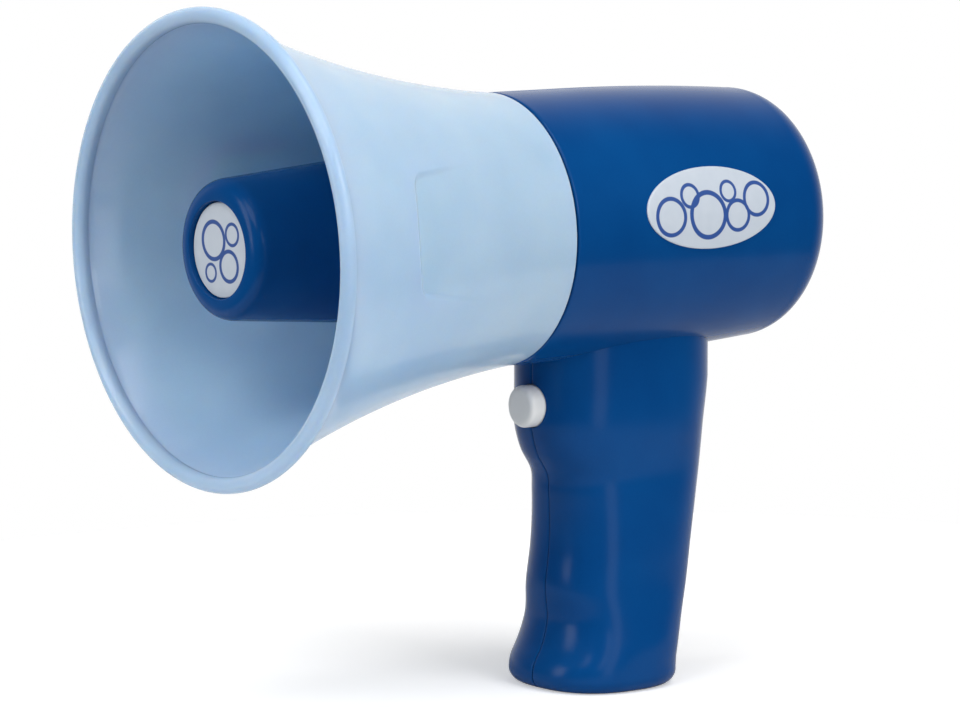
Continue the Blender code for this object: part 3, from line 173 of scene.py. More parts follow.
# Trigger button, battery door and screws
BUTTON_FACE_Y = -28.0
BUTTON_HEIGHT = 90.3
BUTTON_RADIUS = 6.65
BUTTON_ROOM = 0.3
BUTTON_HOLE = (BUTTON_FACE_Y - 4, -15)
BUTTON_FLANGE = (8.4, 9.0, 10.5)
BUTTON_STEM = (2.2, 19.0)
SPRING_FRONT = BUTTON_FACE_Y + 11.4
SPRING_BACK = -9.9
SPRING_RADIUS = 4.6
SPRING_WIRE = 0.5
SPRING_TURNS = 3
SPRING_EASE = 1.5
DOOR_HALF = (17.0, 17.2)
DOOR_CENTRE_Y = 1.3
DOOR_THICKNESS = 3.0
DOOR_ROOM = 0.4
DOOR_MOUTH = (0.3, 0.7)
# Rows of the door's edge from below: inset, height
DOOR_ROWS = ((0.7, 0.0), (0.2, 0.15), (0.0, 0.7), (0.0, DOOR_THICKNESS - 0.4), (0.4, DOOR_THICKNESS))
DOOR_SCREW = (9.5, -9.5)
DOOR_SCREW_SEAT = (2.9, 2.0)
DOOR_SCREW_BORE = 1.6
HINGE_RADIUS = 1.85
HINGE_HALF_LENGTH = 8.0
HINGE_ROOM = (12.5, 3.15)
HINGE_PIN_HOLE = (15.9, 1.05)
OVERLAP = 0.1
SCREW_SEAT = 7.0
SCREW_SINK = 0.3
SCREW_HEAD_RADIUS = 2.9
# Screws: radius of the head, height of the head, radius of the shank, length
SCREW_SIZES = (SCREW_HEAD_RADIUS, 2.2, 1.4, 15.8)
DOOR_SCREW_SIZES = (2.5, 1.3, 1.3, 5.3)
DOOR_SCREW_HEIGHT = 1.7
SCREW_ROOM = 0.4
SCREW_BOSS = (4.6, 0.5)
SCREW_WELL_END = 60
SCREW_TURNS = 96
SCREW_TIP = 1.5
# A screw's head: shares of its radius, then shares of its height
HEAD_FACE, CROSS_BAR, CROSS_REACH = 0.94, 0.16, 0.56
HEAD_DOME, HEAD_SHOULDER, CROSS_DEPTH = 0.22, 0.55, 0.55
CROSS_EDGE = 0.25
# Screws of the body: place along and above, and how far a boss reaches out to the right
BARREL_SCREWS = [
    (JOINT_Y + station, AXIS_HEIGHT + rise, reach)
    for station, rise, reach in (
        (36.0, 32.0, 20.4),
        (72.0, 32.0, 18.6),
        (30.0, -32.0, 20.4),
        (78.0, -32.0, 17.9),
    )
]
GRIP_SCREWS = [(26.0, 82.0, 17.2), (-7.5, 70.0, 13.6)]

# Bubble wheel and trough
WHEEL_FRONT = 11.8
WHEEL_THICKNESS = 2.4
WHEEL_RADIUS = 29.8
WHEEL_BORE = 5.35
WHEEL_HUB = 9.0
WHEEL_DISH = 0.6
WHEEL_RIM = (2, 1.6)
LOOP_COUNT = 10
LOOP_CIRCLE = 33.2
LOOP_RADIUS = 4.8
LOOP_BORE = 3.7
LOOP_RIDGES = 16
LOOP_RIDGE_HEIGHT = 0.12
TROUGH_FRONT = 7.8
TROUGH_BACK = 19.4
TROUGH_RADIUS = 39.7
TROUGH_LIP = 31.5
TROUGH_WALL = 1.2
TROUGH_TOP = -20.0
# The trough's section starts and ends on its outer wall, this far before the back
TROUGH_ENDS = (5, 4)

# Sizes in the finishes: what shows on plastic, vinyl, metal and the table top
FLOW_MARK = 30.0
PIGMENT_GRAIN = 0.6
GLOSS_DRIFT = 12.0
ORANGE_PEEL = 2.5
VINYL_FIBRE = 4.0
PRINT_EDGE = 0.08
METAL_GRAIN = 0.3
TABLE_TOOTH = 2.0

# Floor, light and camera. The lit place and the camera's are in metres.
TABLE_RADIUS = 350.0
FLOOR_GLOW = 0.4
ROOM_LIGHT = 0.22
DIM_SIDE = 0.06
PALE_WALL = (-0.785, 0.607, -0.123)
PALE_WALL_FADE = (0.1, 0.85)
LIT_PLACE = (0.0, -0.04, 0.12)
CAMERA_PLACE = (1.21798, -0.98567, 0.29897)
CAMERA_TILT = 82.936
CAMERA_TURN = 52.28
SENSOR_WIDTH = 36.0
FOCAL_LENGTH = 187.5


# Mesh tools


def skin(points, wrap_rows=False, wrap_columns=False):
    """Quads over a grid of points: (i, j) joins (i+1, j), (i+1, j+1) and (i, j+1).

    Where it wraps, the last row or column joins the first.
    """
    rows, columns = points.shape[:2]
    i, j = np.meshgrid(
        np.arange(rows if wrap_rows else rows - 1),
        np.arange(columns if wrap_columns else columns - 1),
        indexing="ij",
    )
    after_i, after_j = (i + 1) % rows, (j + 1) % columns
    corners = (i * columns + j, after_i * columns + j, after_i * columns + after_j, i * columns + after_j)
    return points.reshape(-1, 3), np.stack(corners, axis=-1).reshape(-1, 4)


def cap(loop):
    """One face over a closed loop of points that is flat or nearly so."""
    return loop, np.arange(len(loop))[None]


def tube(points):
    """A closed body from rings of points: the skin round them, and a cap on the first and the last ring."""
    return [skin(points, wrap_columns=True), cap(points[0]), cap(points[-1])]


def build(name, patches):
    """One mesh object from patches of points and faces.

    Points that touch are merged, and faces are turned outwards.
    """
    starts = np.cumsum([0] + [len(points) for points, _ in patches])
    faces = [
        (np.asarray(face) + start).tolist()
        for (_, some), start in zip(patches, starts)
        for face in some
    ]
    mesh = bpy.data.meshes.new(name)
    mesh.from_pydata(np.concatenate([points for points, _ in patches]) * MM, [], faces)
    shape = bmesh.new()
    shape.from_mesh(mesh)
    bmesh.ops.remove_doubles(shape, verts=shape.verts, dist=2e-7)
    bmesh.ops.recalc_face_normals(shape, faces=shape.faces)
    shape.to_mesh(mesh)
    shape.free()
    made = bpy.data.objects.new(name, mesh)
    bpy.context.scene.collection.objects.link(made)
    return made


def carve(name, patches, joined=(), removed=()):
    """Patches as one closed body, with other bodies joined to it and cut from it.

    What is left is given back as points and faces.
    """
    blank = build(name, patches)
    tools = []
    for operation, bodies in (("UNION", joined), ("DIFFERENCE", removed)):
        if bodies:
            tools.append(build(f"{name}_{operation.lower()}", bodies))
            modifier = blank.modifiers.new(operation, "BOOLEAN")
            modifier.operation = operation
            modifier.object = tools[-1]
    mesh = bpy.data.meshes.new_from_object(blank.evaluated_get(bpy.context.evaluated_depsgraph_get()))
    points = np.empty(len(mesh.vertices) * 3)
    mesh.vertices.foreach_get("co", points)
    corners = np.empty(len(mesh.loops), int)
    mesh.loops.foreach_get("vertex_index", corners)
    starts = np.empty(len(mesh.polygons), int)
    mesh.polygons.foreach_get("loop_start", starts)
    for used in [blank, *tools]:
        bpy.data.objects.remove(used)
    return points.reshape(-1, 3) / MM, np.split(corners, starts[1:])


def piece(name, patches, body, slot, material, *stands_for):
    """A finished piece: smooth but for its creases, in its material, in place of its CAD nodes.

    It rides on its body; given two bodies and points instead, it is only fixed in place and rides on neither.
    """
    made = build(name, patches)
    made.data.shade_smooth()
    made.data.set_sharp_from_angle(angle=CREASE)
    made.data.materials.append(material)
    if isinstance(body, str):
        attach(made, body)
    else:
        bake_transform(made)
    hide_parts(*stands_for)


def softened(corners, steps=6):
    """A path through (a, b, cut) with its corners eased.

    A corner B gives way to the parabola (1-t)^2 A + 2t(1-t) B + t^2 C, where A lies cut before B and C cut
    after it.
    """
    at = np.array([corner[:2] for corner in corners], float)
    path = [at[:1]]
    for before, here, after, corner in zip(at, at[1:], at[2:], corners[1:]):
        cut = corner[2]
        if cut == 0:
            path.append(here[None])
            continue
        start = here + (before - here) * cut / np.linalg.norm(before - here)
        end = here + (after - here) * cut / np.linalg.norm(after - here)
        t = np.linspace(0, 1, steps)[:, None]
        path.append((1 - t) ** 2 * start + 2 * t * (1 - t) * here + t**2 * end)
    return np.concatenate(path + [at[-1:]])


def round_line(along, turns):
    """Unit vectors that point away from a line, at these turns about it."""
    across = np.cross(along, ALONG_Y if abs(along[1]) < 0.9 else ALONG_Z)
    across /= np.linalg.norm(across)
    return np.outer(np.cos(turns), across) + np.outer(np.sin(turns), np.cross(along, across))


def turned(profile, origin=AXIS, along=ALONG_Y, around=192, closed=False):
    """A profile of (radius, distance) carried once round a line.

    Each point is the origin, plus its distance along the line, plus its radius across it.
    """
    ring = round_line(along, np.arange(around) * 2 * math.pi / around)
    radius, distance = np.array(profile, float).T[:, :, None, None]
    return skin(origin + distance * along + radius * ring, closed, True)


def smooth_step(share):
    """0 below 0, 1 above 1, and 3s^2 - 2s^3 between."""
    share = np.clip(share, 0, 1)
    return share * share * (3 - 2 * share)


def through(knots, values, where):
    """The cubic through the values at rising knots whose slope at each comes from its two neighbours."""
    slopes = np.gradient(values, knots, axis=0)
    i = np.clip(np.searchsorted(knots, where) - 1, 0, len(knots) - 2)
    width = (knots[i + 1] - knots[i])[:, None]
    t = (where - knots[i])[:, None] / width
    return (
        (1 + 2 * t) * (1 - t) ** 2 * values[i]
        + t * (1 - t) ** 2 * width * slopes[i]
        + t**2 * (3 - 2 * t) * values[i + 1]
        + t**2 * (t - 1) * width * slopes[i + 1]
    )


def bell_radius(station, terms=FLARE + (LIP_FLARE,)):
    """The bell's radius: the throat's, plus a sum of powers of the share of the way to the rim."""
    share = -station / BELL_LENGTH
    return THROAT_RADIUS + sum(size * share**power for size, power in terms)


def barrel_radius(station):
    """The barrel's radius: the throat's, less a square of the share of the way along its taper."""
    share = np.maximum(0, station - TAPER_START) / (BARREL_BACK - BARREL_ROUND - TAPER_START)
    return THROAT_RADIUS - (THROAT_RADIUS - BARREL_BACK_RADIUS) * share**2


def arc(centre, radius, first, last, count):
    """Points (radius, station) on an arc from and to these angles in degrees."""
    turns = np.radians(np.linspace(first, last, count))
    return np.stack([centre[0] + radius * np.cos(turns), centre[1] + radius * np.sin(turns)], axis=1)


# Shapes


def finger_pad(station, turn, edge, wider=0.0):
    """How far a finger pad presses the horn's wall in: evenly deeper forwards, inside a rounded outline.

    The top and low edges are lines that spread a little backwards, and the front edge bows forwards between
    them. The signed distance to the outline, in mm, is turned into a soft edge with a smooth step.
    """
    rise = bell_radius(station) * np.sin(turn)
    back = station - PAD_FRONT
    above, below = rise - PAD_TOP[0] - PAD_TOP[1] * back, PAD_LOW[0] + PAD_LOW[1] * back - rise
    sideways = np.maximum(above, below) + PAD_CORNER
    middle, half = (PAD_TOP[0] + PAD_LOW[0]) / 2, (PAD_TOP[0] - PAD_LOW[0]) / 2
    forward = PAD_CORNER - back - PAD_BOW * np.clip(1 - ((rise - middle) / half) ** 2, 0, 1)
    outside = np.hypot(np.maximum(sideways, 0), np.maximum(forward, 0)) - PAD_CORNER
    distance = outside + np.minimum(np.maximum(sideways, forward), 0) - wider
    depth = PAD_DEPTH * np.clip((PAD_REAR - station) / (PAD_REAR - PAD_FRONT), 0, 1)
    return depth * smooth_step(0.5 - distance / (2 * edge))


def horn_wall():
    """The horn's closed profile carried round its axis, its wall pressed in at the finger pads.

    The pads show inside too, softer, wider and less deep.
    """
    heel = softened(
        ((SPIGOT_RADIUS, HEEL_START, 0), (SPIGOT_RADIUS, -HALF_JOINT, 0.2), (JOINT_FACE[0], -HALF_JOINT, 0))
    )
    edge = softened(
        (
            (JOINT_FACE[1], -HALF_JOINT, 0),
            (THROAT_RADIUS, -HALF_JOINT, 0.6),
            (bell_radius(-JOINT_EDGE), -JOINT_EDGE, 0),
        )
    )
    stations = np.concatenate([np.linspace(*rows) for rows in BELL_ROWS])
    outer = np.stack([bell_radius(stations), stations], axis=1)
    bead = arc((RIM_RADIUS - BEAD_RADIUS, -BELL_LENGTH), BEAD_RADIUS, *BEAD_ARC)
    lip = softened(LIP)
    stations = np.linspace(*INNER_ROWS)
    inner = np.stack([bell_radius(stations, FLARE) - HORN_WALL, stations], axis=1)
    bore = softened(
        (
            (bell_radius(INNER_END[0], FLARE) - HORN_WALL, INNER_END[0], 0),
            (SPIGOT_BORE, INNER_END[1], 0.8),
            (SPIGOT_BORE, SPIGOT_END, 0.4),
            (SPIGOT_RADIUS, SPIGOT_END, 0.5),
            (SPIGOT_RADIUS, HEEL_START, 0),
        )
    )
    radius, station = np.concatenate([heel, edge, outer, bead, lip, inner, bore[:-1]]).T
    near = [np.radians(np.arange(first, last, PAD_EDGE_STEP)) for first, last in PAD_EDGE_TURNS]
    near = np.concatenate(near)
    even = np.arange(BELL_TURNS) * 2 * math.pi / BELL_TURNS
    turns = np.concatenate([even, near, math.pi - near]) % (2 * math.pi)
    turns = np.unique(np.round(turns, 3))
    radii = np.repeat(radius[:, None], len(turns), axis=1)
    first = len(heel) + len(edge)
    outside = slice(first, first + len(outer))
    inside = slice(-len(inner) - len(bore) + 1, 1 - len(bore))
    radii[outside] -= finger_pad(station[outside, None], turns, PAD_EDGE)
    pressed = finger_pad(station[inside, None], turns, PAD_EDGE_INSIDE, PAD_WIDER_INSIDE)
    radii[inside] -= PAD_SHARE_INSIDE * pressed
    grid = np.stack([radii * np.cos(turns), station[:, None] + 0 * radii, radii * np.sin(turns)], axis=-1)
    return skin(AXIS + grid, True, True)


def bayonet_pegs():
    """Round-topped pegs on the spigot, each a profile turned about its own outward line."""
    root = SPIGOT_RADIUS - PEG_SINK
    profile = softened(
        ((0, PEG_REACH, 0), (PEG_RADIUS, PEG_REACH, 0.4), (PEG_RADIUS, root, 0), (0, root, 0))
    )
    pegs = []
    for degrees in PEG_TURNS:
        out = np.array([math.cos(math.radians(degrees)), 0, math.sin(math.radians(degrees))])
        pegs.append(turned(profile, AXIS + PEG_STATION * ALONG_Y, out, around=20))
    return pegs


def nose_cone():
    """The cone's wall turned about the axis: slope, rounded nose, raised lip, sunk seat, and back inside."""
    slope = (CONE_BACK[0] - CONE_SHOULDER[0]) / (CONE_BACK[1] - CONE_SHOULDER[1])
    tip = CONE_SHOULDER[0] + slope * (CONE_FRONT - CONE_SHOULDER[1])
    seat = LABEL_RADIUS + LABEL_ROOM
    return turned(
        softened(
            (
                (0, LABEL_SEAT, 0),
                (seat, LABEL_SEAT, 0.2),
                (seat, CONE_FRONT, 0.45),
                (tip, CONE_FRONT, CONE_NOSE_EASE),
                (CONE_BACK[0], CONE_BACK[1], 0.5),
                (CONE_BACK[0] - CONE_WALL, CONE_BACK[1], 0.3),
                (tip - CONE_NOSE_INSIDE[0], CONE_NOSE_INSIDE[1], 3.5),
                (seat, CONE_FLOOR, 0),
                (0, CONE_FLOOR, 0),
            ),
            steps=16,
        )
    )


def cone_label():
    """A thin round plate with an eased edge."""
    back, front = LABEL_SEAT - LABEL_LIFT[0], LABEL_SEAT - LABEL_LIFT[1]
    return turned(
        softened(((0, back, 0), (LABEL_RADIUS, back, 0), (LABEL_RADIUS, front, 0.3), (0, front, 0)))
    )


def half_turns(count):
    """Angles from -90 to 90 degrees, closer together at both ends, where the body's two halves meet."""
    return math.pi / 2 * np.sin(math.pi / 2 * np.linspace(-1, 1, count))


def eased_seam(across):
    """How far a surface drops towards the seam between the halves: a square of the nearness to it."""
    return SEAM_ROUND * np.clip(1 - (across - SEAM) / SEAM_WIDTH, 0, 1) ** 2


def barrel_half():
    """The barrel's closed wall profile carried through half a turn, from below up, and capped at the seam."""
    corner = (BARREL_BACK_RADIUS - BARREL_ROUND, BARREL_BACK - BARREL_ROUND)
    mouth = softened(
        ((JOINT_FACE[0], HALF_JOINT, 0), (THROAT_RADIUS, HALF_JOINT, 0.7), (THROAT_RADIUS, JOINT_EDGE, 0))
    )
    stations = np.linspace(3, corner[1] - 1, 46)
    side = np.stack([barrel_radius(stations), stations], axis=1)
    back = arc(corner, BARREL_ROUND, 0, 90, 22)
    flat = np.stack([np.linspace(corner[0], 0, 10)[1:], np.full(9, BARREL_BACK)], axis=1)
    outer = np.concatenate([mouth, side, back, flat])
    inside = arc(corner, BARREL_ROUND - WALL, 90, 0, 12)
    bore = [[0, BARREL_BACK - WALL], *inside]
    for back_end, front_end, ring in BARREL_RIBS:
        wide = barrel_radius(back_end) - WALL
        bore += [[wide, back_end], [ring, back_end], [ring, front_end], [wide, front_end]]
    bore += [[THROAT_RADIUS - WALL, HALF_JOINT]]
    radius, station = np.concatenate([outer, bore]).T[:, :, None]
    turns = half_turns(BARREL_TURNS)
    x = np.maximum(radius * np.cos(turns), SEAM)
    eased = np.arange(len(radius)) < len(mouth) + len(side) + len(back)
    drop = eased_seam(x) * eased[:, None]
    z = (radius - drop) * np.sin(turns)
    grid = AXIS + np.stack([x, station + 0 * x, z], axis=-1)
    return [skin(grid, wrap_rows=True), cap(grid[:, 0]), cap(grid[:, -1])]


def squared_round(turns):
    """The across and lengthwise parts of a superellipse of unit size: signed powers of cosine and sine."""
    return [np.sign(part) * np.abs(part) ** (2 / GRIP_POWER) for part in (np.cos(turns), np.sin(turns))]


def grip_rows(heights, inset, turns):
    """Half sections of the grip: a superellipse through the four edges, drawn in all round by the inset."""
    edges = through(GRIP_SECTIONS[:, 0], GRIP_SECTIONS[:, 1:], heights)
    front, back, half = edges.T[:, :, None]
    bulge_x, bulge_y = squared_round(turns)
    inset = np.broadcast_to(inset, heights.shape)[:, None]
    x = np.maximum((half - inset) * bulge_x, SEAM)
    y = (front + back) / 2 + ((back - front) / 2 - inset) * bulge_y
    return np.stack([x, y, heights[:, None] + 0 * x], axis=-1)


def under_barrel(x, y):
    """The height of the barrel's wall straight above a place in plan."""
    return AXIS_HEIGHT - np.sqrt(barrel_radius(y - JOINT_Y) ** 2 - x**2)


def up_to_barrel(row, count):
    """A row of the grip carried straight up to the barrel's wall in even steps, the last sunk just into it."""
    rows = np.repeat(row[None], count, axis=0)
    top = under_barrel(row[:, 0], row[:, 1]) + SINK
    rows[:, :, 2] += np.linspace(0, 1, count + 1)[1:, None] * (top - row[:, 2])
    return rows


def door_opening(height, turns, room):
    """Half of the door's outline with room round it."""
    bulge_x, bulge_y = squared_round(turns)
    x = np.maximum((DOOR_HALF[0] + room) * bulge_x, SEAM)
    y = DOOR_CENTRE_Y + (DOOR_HALF[1] + room) * bulge_y
    return np.stack([x, y, np.full(len(turns), float(height))], axis=-1)[None]


def grip_half():
    """The grip's closed wall, capped at the seam.

    It goes up the outside to the barrel, down the inside to the floor and out by the door's opening. The two
    halves all but meet inside, so that no light comes through the seam.
    """
    turns = half_turns(GRIP_TURNS)
    under = np.linspace(0, math.pi / 2, 12)
    foot = grip_rows(FOOT_ROUND * (1 - np.cos(under)), FOOT_ROUND * (1 - np.sin(under)), turns)
    side = grip_rows(np.linspace(FOOT_ROUND + 0.6, GRIP_SHOULDER, 84), 0.0, turns)
    outer = np.concatenate([foot, side, up_to_barrel(side[-1], 12)])
    outer[:, :, 1] -= np.sign(np.sin(turns)) * eased_seam(outer[:, :, 0])
    inner = grip_rows(np.linspace(GRIP_SHOULDER, FOOT_FLOOR, 40), WALL, turns)
    inner[:, (0, -1), 0] = SEAM_INSIDE
    top = inner[0].copy()
    top[:, 2] = under_barrel(top[:, 0], top[:, 1]) + SINK
    inner = np.concatenate([top[None], inner])
    opening = np.concatenate([door_opening(z, turns, DOOR_ROOM) for z in (FOOT_FLOOR, DOOR_MOUTH[0])])
    edge = door_opening(0.0, turns, DOOR_MOUTH[1])
    grid = np.concatenate([outer, inner, opening, edge])
    return [skin(grid, wrap_rows=True), cap(grid[:, 0]), cap(grid[:, -1])]


def vent_slots():
    """Round-ended slots through the left half of the back, each flared where it comes out."""
    turns = np.linspace(0, 2 * math.pi, 48, endpoint=False)
    slots = []
    for rise in VENT_RISES:
        ends = np.array([VENT_START, math.sqrt(VENT_REACH**2 - rise**2)])
        rings = []
        for station, half in VENT_FLARE:
            middle = np.where(np.cos(turns) > 0, ends[1] - VENT_HALF_HEIGHT, ends[0] + VENT_HALF_HEIGHT)
            x = middle + half * np.cos(turns)
            z = AXIS_HEIGHT + rise + half * np.sin(turns)
            rings.append(np.stack([x, np.full(len(turns), JOINT_Y + BARREL_BACK + station), z], axis=-1))
        slots += tube(np.array(rings))
    return slots


def rod(start, end, radius, around=40):
    """A plain closed cylinder between two points."""
    start, end = np.array(start, float), np.array(end, float)
    length = np.linalg.norm(end - start)
    return turned(((0, 0), (radius, 0), (radius, length), (0, length)), start, (end - start) / length, around)


def mirrored(patches):
    """The same patches on the other side of the seam."""
    return [(points * (-1, 1, 1), faces) for points, faces in patches]


def body_shell(right):
    """One half of the body: its barrel with vents, and its grip with room for the button and the hinge.

    The right half also has the bosses and wells of the screws.
    """
    front, back = [(0, y, BUTTON_HEIGHT) for y in BUTTON_HOLE]
    knuckle_end, pin_end = [HINGE + reach * ALONG_X for reach in (HINGE_ROOM[0], HINGE_PIN_HOLE[0])]
    holes_below = [
        rod(front, back, BUTTON_RADIUS + BUTTON_ROOM, 96),
        rod(HINGE - ALONG_X, knuckle_end, HINGE_ROOM[1], 64),
        rod(HINGE + (HINGE_ROOM[0] - OVERLAP) * ALONG_X, pin_end, HINGE_PIN_HOLE[1], 32),
    ]
    halves = (
        ("barrel", barrel_half(), vent_slots(), BARREL_SCREWS),
        ("grip", grip_half(), holes_below, GRIP_SCREWS),
    )
    if not right:
        return [carve(name, half, removed=holes) for name, half, holes, _ in halves]
    shells = []
    boss, start = SCREW_BOSS
    for name, half, holes, screws in halves:
        bosses = [rod((-start, y, z), (-reach, y, z), boss) for y, z, reach in screws]
        wells = [
            rod((-SCREW_SEAT, y, z), (-SCREW_WELL_END, y, z), SCREW_HEAD_RADIUS + SCREW_ROOM)
            for y, z, _ in screws
        ]
        shells.append(carve(name, mirrored(half), bosses, mirrored(holes) + wells))
    return shells


def side_label(side):
    """An oval plate on the barrel: rings of a shrinking ellipse, each point set out to the barrel's radius."""
    turns = np.linspace(0, 2 * math.pi, 160, endpoint=False)
    station = SIDE_LABEL_STATION + SIDE_LABEL_HALF[0] * np.outer(SIDE_LABEL_SHARE, np.cos(turns))
    rise = SIDE_LABEL_RISE + SIDE_LABEL_HALF[1] * np.outer(SIDE_LABEL_SHARE, np.sin(turns))
    x = side * np.sqrt((barrel_radius(station) + SIDE_LABEL_LIFT[:, None]) ** 2 - rise**2)
    return skin(AXIS + np.stack([x, station, rise], axis=-1), wrap_columns=True)


def trigger_button():
    """The button turned about its line of travel: domed face, rounded edge, barrel, flange and stem."""
    flange, flange_front, flange_back = BUTTON_FLANGE
    stem, stem_end = BUTTON_STEM
    return turned(
        softened(
            (
                (0, -0.25, 0),
                (4.0, -0.2, 1.0),
                (BUTTON_RADIUS, 0, 1.9),
                (BUTTON_RADIUS, flange_front, 0),
                (flange, flange_front, 0.3),
                (flange, flange_back, 0.3),
                (stem, flange_back, 0.4),
                (stem, stem_end, 0.3),
                (0, stem_end, 0),
            ),
            steps=10,
        ),
        np.array([0, BUTTON_FACE_Y, BUTTON_HEIGHT]),
        ALONG_Y,
        128,
    )


def trigger_spring():
    """The spring's wire: a round section carried along a helix on the button's line of travel, and capped."""
    share = np.linspace(0, 1, 121)[:, None]
    turn = 2 * math.pi * SPRING_TURNS * share
    around = np.arange(20) * 2 * math.pi / 20
    reach = SPRING_RADIUS + SPRING_WIRE * np.cos(around)
    y = SPRING_FRONT + share * (SPRING_BACK - SPRING_FRONT) + SPRING_WIRE * np.sin(around)
    return tube(np.stack([reach * np.cos(turn), y, BUTTON_HEIGHT + reach * np.sin(turn)], axis=-1))


def cross_screw(origin, along, head, head_height, shank, length):
    """A pan-head screw: a domed head with a cross sunk in it, on a shank that ends in a point.

    Along the head's face the height is a falling square of the radius, less a smooth-edged cross of two bars.
    """
    turns = np.arange(SCREW_TURNS) * 2 * math.pi / SCREW_TURNS
    radius = np.linspace(0, head * HEAD_FACE, 26)[:, None]
    u, v = np.abs(radius * np.cos(turns)), np.abs(radius * np.sin(turns))
    bar, reach = CROSS_BAR * head, CROSS_REACH * head
    inside = np.maximum(np.minimum(bar - v, reach - u), np.minimum(bar - u, reach - v))
    cross = smooth_step(inside / CROSS_EDGE + 0.5) * head_height * CROSS_DEPTH * (1 - 0.5 * radius / reach)
    top = head_height * (1 - HEAD_DOME * (radius / head) ** 2) - np.maximum(cross, 0)
    shoulder = head_height * HEAD_SHOULDER
    rest = np.array(((head, shoulder), (head, 0), (shank, 0), (shank, SCREW_TIP - length), (0, -length)))
    radii = np.repeat(np.concatenate([radius, rest[:, :1]]), SCREW_TURNS, axis=1)
    heights = np.concatenate([top, np.repeat(rest[:, 1:], SCREW_TURNS, axis=1)])
    ring = round_line(along, turns)
    return skin(origin + heights[..., None] * along + radii[..., None] * ring, wrap_columns=True)


def battery_door():
    """The door's plate, a superellipse with eased edges, its hinge knuckle joined and its screw's seat cut."""
    inset, height = np.array(DOOR_ROWS).T[:, :, None]
    bulge_x, bulge_y = squared_round(np.linspace(0, 2 * math.pi, 160, endpoint=False))
    x = (DOOR_HALF[0] - inset) * bulge_x
    y = DOOR_CENTRE_Y + (DOOR_HALF[1] - inset) * bulge_y
    plate = tube(np.stack([x, y, height + 0 * x], axis=-1))
    reach = HINGE_HALF_LENGTH * ALONG_X
    knuckle = [rod(HINGE - reach, HINGE + reach, HINGE_RADIUS)]
    place = np.array([*DOOR_SCREW, 0])
    radius, depth = DOOR_SCREW_SEAT
    seat = [
        rod(place - ALONG_Z, place + depth * ALONG_Z, radius),
        rod(place + (depth - OVERLAP) * ALONG_Z, place + 5 * ALONG_Z, DOOR_SCREW_BORE),
    ]
    return [carve("door", plate, knuckle, seat)]


def bubble_wheel():
    """A disc with a raised rim, and round its edge the blowing loops, rings whose bores carry fine ridges."""
    front, back = WHEEL_FRONT, WHEEL_FRONT + WHEEL_THICKNESS
    dish = front + WHEEL_DISH
    disc = turned(
        softened(
            (
                (WHEEL_BORE, dish, 0),
                (WHEEL_BORE, front, 0.2),
                (WHEEL_HUB, front, 0.2),
                (WHEEL_HUB, dish, 0.2),
                (WHEEL_RADIUS - WHEEL_RIM[0], dish, 0.2),
                (WHEEL_RADIUS - WHEEL_RIM[1], front, 0.2),
                (WHEEL_RADIUS, front, 0.3),
                (WHEEL_RADIUS, back, 0.3),
                (WHEEL_BORE, back, 0.2),
                (WHEEL_BORE, front + 0.7, 0),
            )
        ),
        closed=True,
    )
    loops = [disc]
    around = np.arange(96) * 2 * math.pi / 96
    section = np.arange(20) * 2 * math.pi / 20
    ridge = LOOP_RIDGE_HEIGHT * np.cos(LOOP_RIDGES * around) * (np.cos(section) < 0)[:, None]
    middle, half = (LOOP_RADIUS + LOOP_BORE) / 2, (LOOP_RADIUS - LOOP_BORE) / 2
    radius = middle + half * np.cos(section)[:, None] + ridge
    for turn in np.arange(LOOP_COUNT) * 2 * math.pi / LOOP_COUNT:
        x = LOOP_CIRCLE * math.cos(turn) + radius * np.cos(around)
        z = LOOP_CIRCLE * math.sin(turn) + radius * np.sin(around)
        y = (front + back) / 2 + WHEEL_THICKNESS / 2 * np.sin(section)[:, None] + 0 * x
        loops.append(skin(AXIS + np.stack([x, y, z], axis=-1), True, True))
    return loops


def solution_trough():
    """The trough's closed section carried round under the wheel, each radius up to the level of its top."""
    inside = TROUGH_RADIUS - TROUGH_WALL
    front, back = TROUGH_FRONT, TROUGH_BACK
    section = softened(
        (
            (TROUGH_RADIUS, back - TROUGH_ENDS[0], 0),
            (TROUGH_RADIUS, front, 0.4),
            (TROUGH_LIP, front, 0.5),
            (TROUGH_LIP, front + TROUGH_WALL, 0.5),
            (inside, front + TROUGH_WALL, 1.0),
            (inside, back - TROUGH_WALL, 1.0),
            (TROUGH_LIP, back - TROUGH_WALL, 0.5),
            (TROUGH_LIP, back, 0.5),
            (TROUGH_RADIUS, back, 0.4),
            (TROUGH_RADIUS, back - TROUGH_ENDS[1], 0),
        )
    )
    radius, station = section.T[:, :, None]
    swing = math.pi / 2 - np.arcsin(-TROUGH_TOP / radius)
    turns = -math.pi / 2 + swing * np.linspace(-1, 1, 97)
    grid = AXIS + np.stack([radius * np.cos(turns), station + 0 * turns, radius * np.sin(turns)], axis=-1)
    return [skin(grid, wrap_rows=True), cap(grid[:, 0]), cap(grid[:, -1])]


# Materials


def linear(colour):
    """An sRGB hex value as a linear colour with full alpha."""
    srgb = np.array([int(colour[i : i + 2], 16) for i in (0, 2, 4)]) / 255
    return (*np.where(srgb > 0.04045, ((srgb + 0.055) / 1.055) ** 2.4, srgb / 12.92), 1.0)


def add(tree, kind, inputs=None, **settings):
    """A node of this kind with its settings, its inputs set to values or linked from other nodes' outputs."""
    made = tree.nodes.new(kind)
    for key, value in settings.items():
        setattr(made, key, value)
    for key, value in (inputs or {}).items():
        if isinstance(value, bpy.types.NodeSocket):
            tree.links.new(value, made.inputs[key])
        else:
            made.inputs[key].default_value = value
    return made


